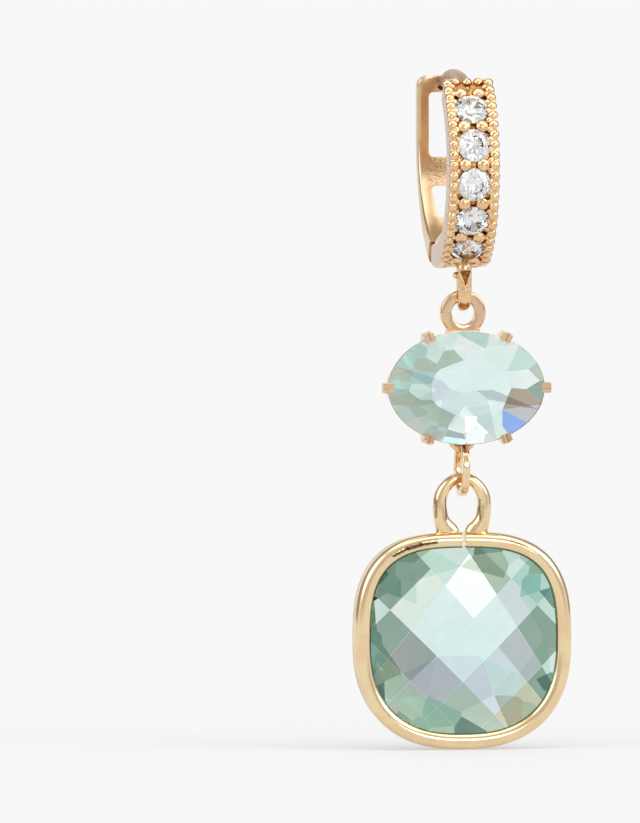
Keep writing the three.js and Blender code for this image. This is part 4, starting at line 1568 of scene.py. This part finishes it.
@dataclass
class JumpRing:
    """The flat-wire ring between the drops, with the fine line where it closes."""

    middle: Vector = field(default_factory=lambda: Vector((0, -2.7, -26.85)))
    outer: float = 2.55
    inner: float = 1.99
    half_wide: float = 0.33
    finish: GoldFinish = GoldFinish("gold_ring")

    def build(self) -> bpy.types.Object:
        """Builds and dresses the ring.

        Returns:
            The piece.
        """
        line = circle(self.middle, (self.outer + self.inner) / 2, BACK, UP, 96)
        section = box_section(self.half_wide, (self.outer - self.inner) / 2, 0.14, 4)
        ring = Stock.sweep(line, [section], closed=True)
        joint = self.middle - BACK * self.outer + UP * 0.5
        groove = Stock.block(joint - Vector((1, 0.5, 0)), joint + Vector((1, 0.22, 0.06)))
        ring.cut(groove)
        return ring.hand_over("link_ring", "jump_ring", "jump_ring", Slot.GOLD, self.finish.build())


# ---------------------------------------------------------------- the cushion drop


@dataclass(frozen=True)
class CushionOutline:
    """The frame's outline: a rounded square, a little squarer at its top."""

    z: float = -42.05
    half_width: float = 9.685
    half_height: float = 9.585
    power_top: float = 2.85
    power_foot: float = 2.42

    def at(self, turn: float, inset: float, y: float) -> Vector:
        """A point of the outline, moved in by a distance and set at a depth.

        Args:
            turn: The angle round the outline, in radians.
            inset: How far the point is moved in.
            y: Its depth.

        Returns:
            The point.
        """
        cos, sin = math.cos(turn), math.sin(turn)
        power = self.power_top if sin > 0 else self.power_foot
        x = math.copysign(abs(cos) ** (2 / power), cos)
        z = math.copysign(abs(sin) ** (2 / power), sin)
        normal = Vector((
            math.copysign(abs(x) ** (power - 1), x) / self.half_width, 0,
            math.copysign(abs(z) ** (power - 1), z) / self.half_height,
        )).normalized()
        return Vector((x * self.half_width, y, self.z + z * self.half_height)) - normal * inset

    @property
    def top(self) -> float:
        """The height of its highest point."""
        return self.z + self.half_height

    def turns(self, count: int) -> list[float]:
        """Finds places that are spread evenly along the outline.

        Args:
            count: How many there are.

        Returns:
            Their angles, in radians.
        """
        raw = np.linspace(0, 2 * np.pi, 2881)
        points = np.array([self.at(turn, 0, 0) for turn in raw])
        run = run_along(points)
        return list(np.interp((np.arange(count) + 0.5) / count * run[-1], run, raw))


@dataclass(frozen=True)
class Crease:
    """A straight fold right across the crown of the cushion stone.

    Its offset is counted from the stone's middle. A skew turns it, in degrees.
    """

    offset: float
    skew: float = 0.0


@dataclass(frozen=True)
class Tier:
    """A row of facets round the back of the cushion stone.

    Each runs from a start, which is an inset from the girdle and a depth behind it, to a deeper end. The
    first one lies at the shift, counted in facets. Their painted reflections and shades are dealt out in
    turn.
    """

    count: int
    shift: float
    start: tuple[float, float]
    end: tuple[float, float]
    painted_lights: tuple[PaintedFacetLight, ...]


@dataclass
class CushionDrop:
    """The cushion stone in its bezel, under a wire loop."""

    outline: CushionOutline = CushionOutline()
    front: float = -4.1
    depth: float = 2.75
    loop_y: float = -2.7
    loop_top: float = -27.76
    half_slit: float = 0.17
    inset: float = 1.2
    girdle_y: float = -3.02
    crown: float = 1.7
    fold: float = 0.115
    lean: float = 0.035
    pavilion: float = 3.0
    rising: tuple[Crease, ...] = (
        Crease(-6.5), Crease(-2.4), Crease(0.9), Crease(4.4, 6.8), Crease(6.6),
    )
    falling: tuple[Crease, ...] = (
        Crease(-5.9), Crease(-2.7), Crease(1.85, -4.5), Crease(4.55, -12.0), Crease(6.8),
    )
    # the painted reflection and shade of each check of the crown, row by row
    checks: tuple[tuple[PaintedFacetLight, ...], ...] = (
        (PaintedFacetLight.TEAL, PaintedFacetLight.SAGE, PaintedFacetLight.TAN, PaintedFacetLight.LEAF, PaintedFacetLight.MINT, PaintedFacetLight.CLEAR),
        (PaintedFacetLight.SAGE, PaintedFacetLight.SAGE, PaintedFacetLight.LILAC, PaintedFacetLight.GREY, PaintedFacetLight.LEAF, PaintedFacetLight.MINT),
        (PaintedFacetLight.SAGE, PaintedFacetLight.GREY, PaintedFacetLight.CLEAR, PaintedFacetLight.CLEAR, PaintedFacetLight.LILAC, PaintedFacetLight.AQUA),
        (PaintedFacetLight.SAGE, PaintedFacetLight.SLATE, PaintedFacetLight.CLEAR, PaintedFacetLight.CREAM, PaintedFacetLight.SAGE, PaintedFacetLight.MINT),
        (PaintedFacetLight.AQUA, PaintedFacetLight.LEAF, PaintedFacetLight.CREAM, PaintedFacetLight.MINT, PaintedFacetLight.SAGE, PaintedFacetLight.AQUA),
        (PaintedFacetLight.LEAF, PaintedFacetLight.MINT, PaintedFacetLight.LEAF, PaintedFacetLight.MINT, PaintedFacetLight.LEAF, PaintedFacetLight.CLEAR),
    )
    # rows of facets on the back, with their painted reflections and shades
    tiers: tuple[Tier, ...] = (
        Tier(28, 0.3, (0.0, 0.12), (1.3, 0.86), (PaintedFacetLight.MINT, PaintedFacetLight.TEAL, PaintedFacetLight.CLEAR, PaintedFacetLight.SAGE, PaintedFacetLight.AQUA)),
        Tier(16, 0.5, (0.9, 0.62), (2.6, 1.46), (PaintedFacetLight.MINT, PaintedFacetLight.AQUA, PaintedFacetLight.CLEAR, PaintedFacetLight.SAGE, PaintedFacetLight.MINT)),
        Tier(4, 0.5, (2.2, 1.3), (5.4, 2.5), (PaintedFacetLight.CLEAR, PaintedFacetLight.MINT, PaintedFacetLight.LILAC, PaintedFacetLight.MINT)),
        Tier(2, 0.0, (2.6, 1.42), (5.4, 2.5), (PaintedFacetLight.CLEAR,)),
        Tier(1, 0.25, (2.2, 1.35), (8.0, 3.0), (PaintedFacetLight.CLEAR,)),
        Tier(1, -0.25, (2.2, 1.35), (7.0, 3.0), (PaintedFacetLight.LILAC,)),
    )
    loop_side: tuple[tuple[float, float, float, float], ...] = (
        (1.2, -0.65, 1.1, 0.66), (1.3, -0.05, 1.02, 0.66), (1.55, 0.42, 0.84, 0.65),
        (1.75, 0.85, 0.72, 0.64), (1.88, 1.3, 0.65, 0.63), (1.95, 1.8, 0.63, 0.62), (1.97, 2.45, 0.61, 0.6),
    )  # how far to the side, how far over the bezel's top, and half the wire's width and depth there
    loop_crown: tuple[tuple[float, float, float, float], ...] = (
        (1.85, -1.5, 0.59, 0.58), (1.45, -0.78, 0.54, 0.55), (0.8, -0.2, 0.48, 0.52),
    )  # the same, counted from the loop's own top
    metal: GoldFinish = GoldFinish(
        "gold_cushion_mount", bright=(0.87, 0.695, 0.425, 1), rosy=(0.84, 0.62, 0.37, 1), roughness=0.11,
        cast=(
            *pitted_line((
                (-6.3, -4.05, -34.52), (-5.02, -4.05, -33.86), (-3.86, -4.05, -33.54), (-2.5, -4.05, -33.36),
            ), (0.17, 0.23, 0.18)),
            Streak((4.1, -4.05, -33.3), (5.5, -4.05, -33.74), 0.12, fade=0.12, crinkle=0.02, pits=0.7),
            Region((-1.62, -3.8, -31.5), (-1.38, -3.0, -29.4), fade=0.14, crinkle=0.02, pits=0.8),
            Region((1.38, -3.8, -31.5), (1.62, -3.0, -29.6), fade=0.14, crinkle=0.02, pits=0.8),
            Region((-2.5, -3.8, -31.3), (-2.25, -2.6, -29.6), fade=0.12, crinkle=0.02, pits=0.6),
        ),
    )
    stone: StoneFinish = StoneFinish("aqua_cushion", ior=1.48, body=(0.08, 0.785, 0.69, 1), density=65.0)

    def _bezel(self) -> Stock:
        """Makes the bezel.

        Returns:
            A wire with a rounded face, and a lip over the stone.
        """
        front, back = self.front, self.front + self.depth
        face = smooth_line([  # inset from the outline, and depth
            (0.0, front + 0.95), (0.06, front + 0.58), (0.27, front + 0.22), (0.62, front + 0.03),
            (0.98, front + 0.04), (1.28, front + 0.2), (1.42, front + 0.42), (1.44, front + 0.62),
        ], 26)
        rest = soften([(1.05, front + 0.82, 0.0), (1.05, back, 0.15), (0.0, back, 0.4)], 4)
        section = np.vstack([face, rest])
        turns = self.outline.turns(240)
        rings = [[tuple(self.outline.at(turn, inset, y)) for inset, y in section] for turn in turns]
        return Stock.skin(np.array(rings), closed=True)

    def _loop(self) -> Stock:
        """Makes the egg-shaped wire loop.

        Returns:
            The loop, whose feet widen and meet at the slit.
        """
        side = [(x, self.outline.top + over, *half) for x, over, *half in self.loop_side]
        side += [(x, self.loop_top + over, *half) for x, over, *half in self.loop_crown]
        line = smooth_line([*side, (0, self.loop_top, 0.44, 0.5), *mirrored(side)], 120)
        path = np.stack([line[:, 0], np.full(len(line), self.loop_y), line[:, 1]], axis=1)
        return Stock.sweep(path, [oval_section(deep, wide, 36) for _, _, wide, deep in line], BACK)

    def _check(self, across: int, upwards: int) -> tuple[Vector, Vector, Vector]:
        """Finds one check of the crown.

        Args:
            across: How many of the rising creases lie below it.
            upwards: How many of the falling creases lie below it.

        Returns:
            Three points of its plane. Where the creases don't fold, the crown leans back a little.
        """
        rise, slope = self.crown, Vector((0, 0, -self.lean))
        for creases, turn, crossed in ((self.rising, 135, across), (self.falling, 45, upwards)):
            for k, crease in enumerate(creases):
                towards = math.radians(turn + crease.skew)
                side = self.fold / 2 if k < crossed else -self.fold / 2
                rise += side * crease.offset + self.fold / 2 * abs(crease.offset)
                slope -= Vector((math.cos(towards), 0, math.sin(towards))) * side
        peak = Vector((0, self.girdle_y - rise, self.outline.z))
        return peak, peak + ACROSS - BACK * slope.x, peak + UP - BACK * slope.z

    def _grind(self, lapidary: Lapidary, tier: Tier) -> None:
        """Grinds a row of facets on the back.

        Args:
            lapidary: The stone that is cut.
            tier: The row.
        """
        (inset, depth), (end_inset, end_depth) = tier.start, tier.end
        inset, end_inset = self.inset + inset, self.inset + end_inset
        for k in range(tier.count):
            turn = 2 * math.pi / tier.count * (k + tier.shift)
            here = self.outline.at(turn, inset, self.girdle_y + depth)
            along = self.outline.at(turn + 0.02, inset, 0) - self.outline.at(turn - 0.02, inset, 0)
            deeper = self.outline.at(turn, end_inset, self.girdle_y + end_depth)
            lapidary.facet(here, here + along, deeper, tier.painted_lights[k % len(tier.painted_lights)])

    def _gem(self) -> Stock:
        """Cuts the stone.

        Returns:
            The stone, with a checkerboard crown, and a back with a steep rim and a flat keel.
        """
        rim = [self.outline.at(turn, self.inset, self.girdle_y) for turn in self.outline.turns(120)]
        lapidary = Lapidary(rim, -BACK, 2.2, self.pavilion)
        for across, row in enumerate(self.checks):
            for upwards, painted_light in enumerate(row):
                lapidary.facet(*self._check(across, upwards), painted_light)
        for tier in self.tiers:
            self._grind(lapidary, tier)
        return lapidary.finish(0.04, PaintedFacetLight.CLEAR)

    def build(self) -> list[bpy.types.Object]:
        """Builds and dresses the mount and its stone.

        Returns:
            Both pieces.
        """
        half, top, back = self.half_slit, self.outline.top, self.front + self.depth
        slit = Stock.block((-half, self.front - 1, top - 2), (half, back + 1, top + 0.45))
        mount = self._bezel().join(self._loop()).cut(slit)
        gem = self._gem()
        return [
            mount.hand_over("cushion_mount", "cushion_drop", "cushion_frame", Slot.GOLD, self.metal.build()),
            gem.hand_over("cushion_gem", "cushion_drop", "cushion_stone", Slot.AQUA, self.stone.build(), 0),
        ]


# ---------------------------------------------------------------- the studio


@dataclass(frozen=True)
class SoftBox:
    """A soft light, as a round patch of sky. All but its power is in degrees."""

    azimuth: float
    elevation: float
    radius: float
    power: float
    fade: float


@dataclass
class Studio:
    """A white table, soft light all round, and the camera."""

    floor_z: float = -51.66
    floor_radius: float = 20.0  # in metres
    floor_colour: Colour = (0.38, 0.38, 0.38, 1)
    floor_glow: float = 0.455
    backdrop: float = 0.94
    front_dimming: float = 0.34
    top_glow: float = 0.1
    ring_dimming: float = 0.6  # a dark ring behind the earring, which shows in the edges of the gold
    distance: float = 1200.0
    azimuth: float = -9.0
    elevation: float = 2.3
    field_height: float = 72.45
    aim_across: float = -12.05
    aim_z: float = -22.05
    lights: tuple[SoftBox, ...] = (
        SoftBox(10.5, 13.5, 5.5, 7.0, 3.0),
        SoftBox(-66.0, 30.0, 15.0, 1.8, 9.0),
        SoftBox(58.0, 34.0, 14.0, 2.6, 9.0),
        SoftBox(10.0, 80.0, 22.0, 1.2, 12.0),
        SoftBox(171.0, 29.0, 3.0, 1.1, 3.5),
    )

    def sky(self) -> None:
        """Sets the light that comes from all round."""
        world = bpy.data.worlds.new("studio")
        bpy.context.scene.world = world
        world.use_nodes = True
        bench = Bench(world.node_tree)
        here = bench.node("ShaderNodeTexCoord", None, None, "Generated")
        _, y, z = bench.axes(here)
        front = bench.step(y * -1.0, 0.1, 0.85)
        level = bench.step(z, -0.1, 0.9)
        ring = bench.step(y, -0.05, 0.15) * (1.0 - bench.step(y, 0.66, 0.86))
        light = self.backdrop - self.front_dimming * front + self.top_glow * level
        light = light - self.ring_dimming * ring
        for box in self.lights:
            facing = bench.vector("DOT_PRODUCT", here, direction(box.azimuth, box.elevation), "Value")
            outer = math.cos(math.radians(box.radius + box.fade))
            inner = math.cos(math.radians(box.radius))
            light = light + box.power * bench.step(facing, outer, inner)
        seen = bench.node("ShaderNodeLightPath", None, None, "Is Camera Ray")
        strength = light * (1.0 - seen) + self.backdrop * seen
        glow = bench.node("ShaderNodeBackground", None, {"Color": (1, 1, 1, 1), "Strength": strength})
        bench.node("ShaderNodeOutputWorld", None, {"Surface": glow})

    def floor(self) -> bpy.types.Object:
        """Lays the table.

        Returns:
            The table.
        """
        shape = bmesh.new()
        bmesh.ops.create_circle(shape, cap_ends=True, segments=96, radius=self.floor_radius)
        mesh = bpy.data.meshes.new("table")
        shape.to_mesh(mesh)
        shape.free()
        table = put_in_scene("table", mesh)
        table.location.z = hoop_middle().z + self.floor_z * MM
        material, bench = bare_material("white_table")
        surface = bench.node("ShaderNodeBsdfPrincipled", None, {
            "Base Color": self.floor_colour, "Roughness": 0.9, "Specular IOR Level": 0.0,
            "Emission Color": (1, 1, 1, 1), "Emission Strength": self.floor_glow,
        })
        bench.node("ShaderNodeOutputMaterial", None, {"Surface": surface})
        mesh.materials.append(material)
        return table

    def camera(self) -> bpy.types.Object:
        """Sets up the camera.

        Returns:
            The camera.
        """
        out = direction(self.azimuth, self.elevation)
        across = direction(self.azimuth + 90, 0)
        target = hoop_middle() + (across * self.aim_across + UP * self.aim_z) * MM
        data = bpy.data.cameras.new("camera")
        data.sensor_width = 36
        data.lens = data.sensor_width * self.distance / self.field_height
        data.clip_start, data.clip_end = 0.01, 100
        camera = put_in_scene("camera", data)
        camera.location = target + out * self.distance * MM
        camera.rotation_euler = out.to_track_quat("Z", "Y").to_euler()
        bpy.context.scene.camera = camera
        return camera


def write_size() -> None:
    """Brings the scene's placements up to date."""
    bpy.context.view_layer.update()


def main() -> None:
    """Builds the earring and its studio."""
    logging.basicConfig(level=logging.INFO, format="%(message)s")
    studio = Studio()
    studio.camera()
    studio.floor()
    studio.sky()
    hoop = (FrontArm(), PaveStones(), EarPost(), HingePin(), RearArm())
    drops = (OvalDrop(), JumpRing(), CushionDrop())
    for part in (*hoop, *drops):
        part.build()
        LOG.info("%s is done", type(part).__name__)
    bpy.context.scene.view_settings.view_transform = "Standard"
    write_size()


if __name__ == "__main__":
    main()
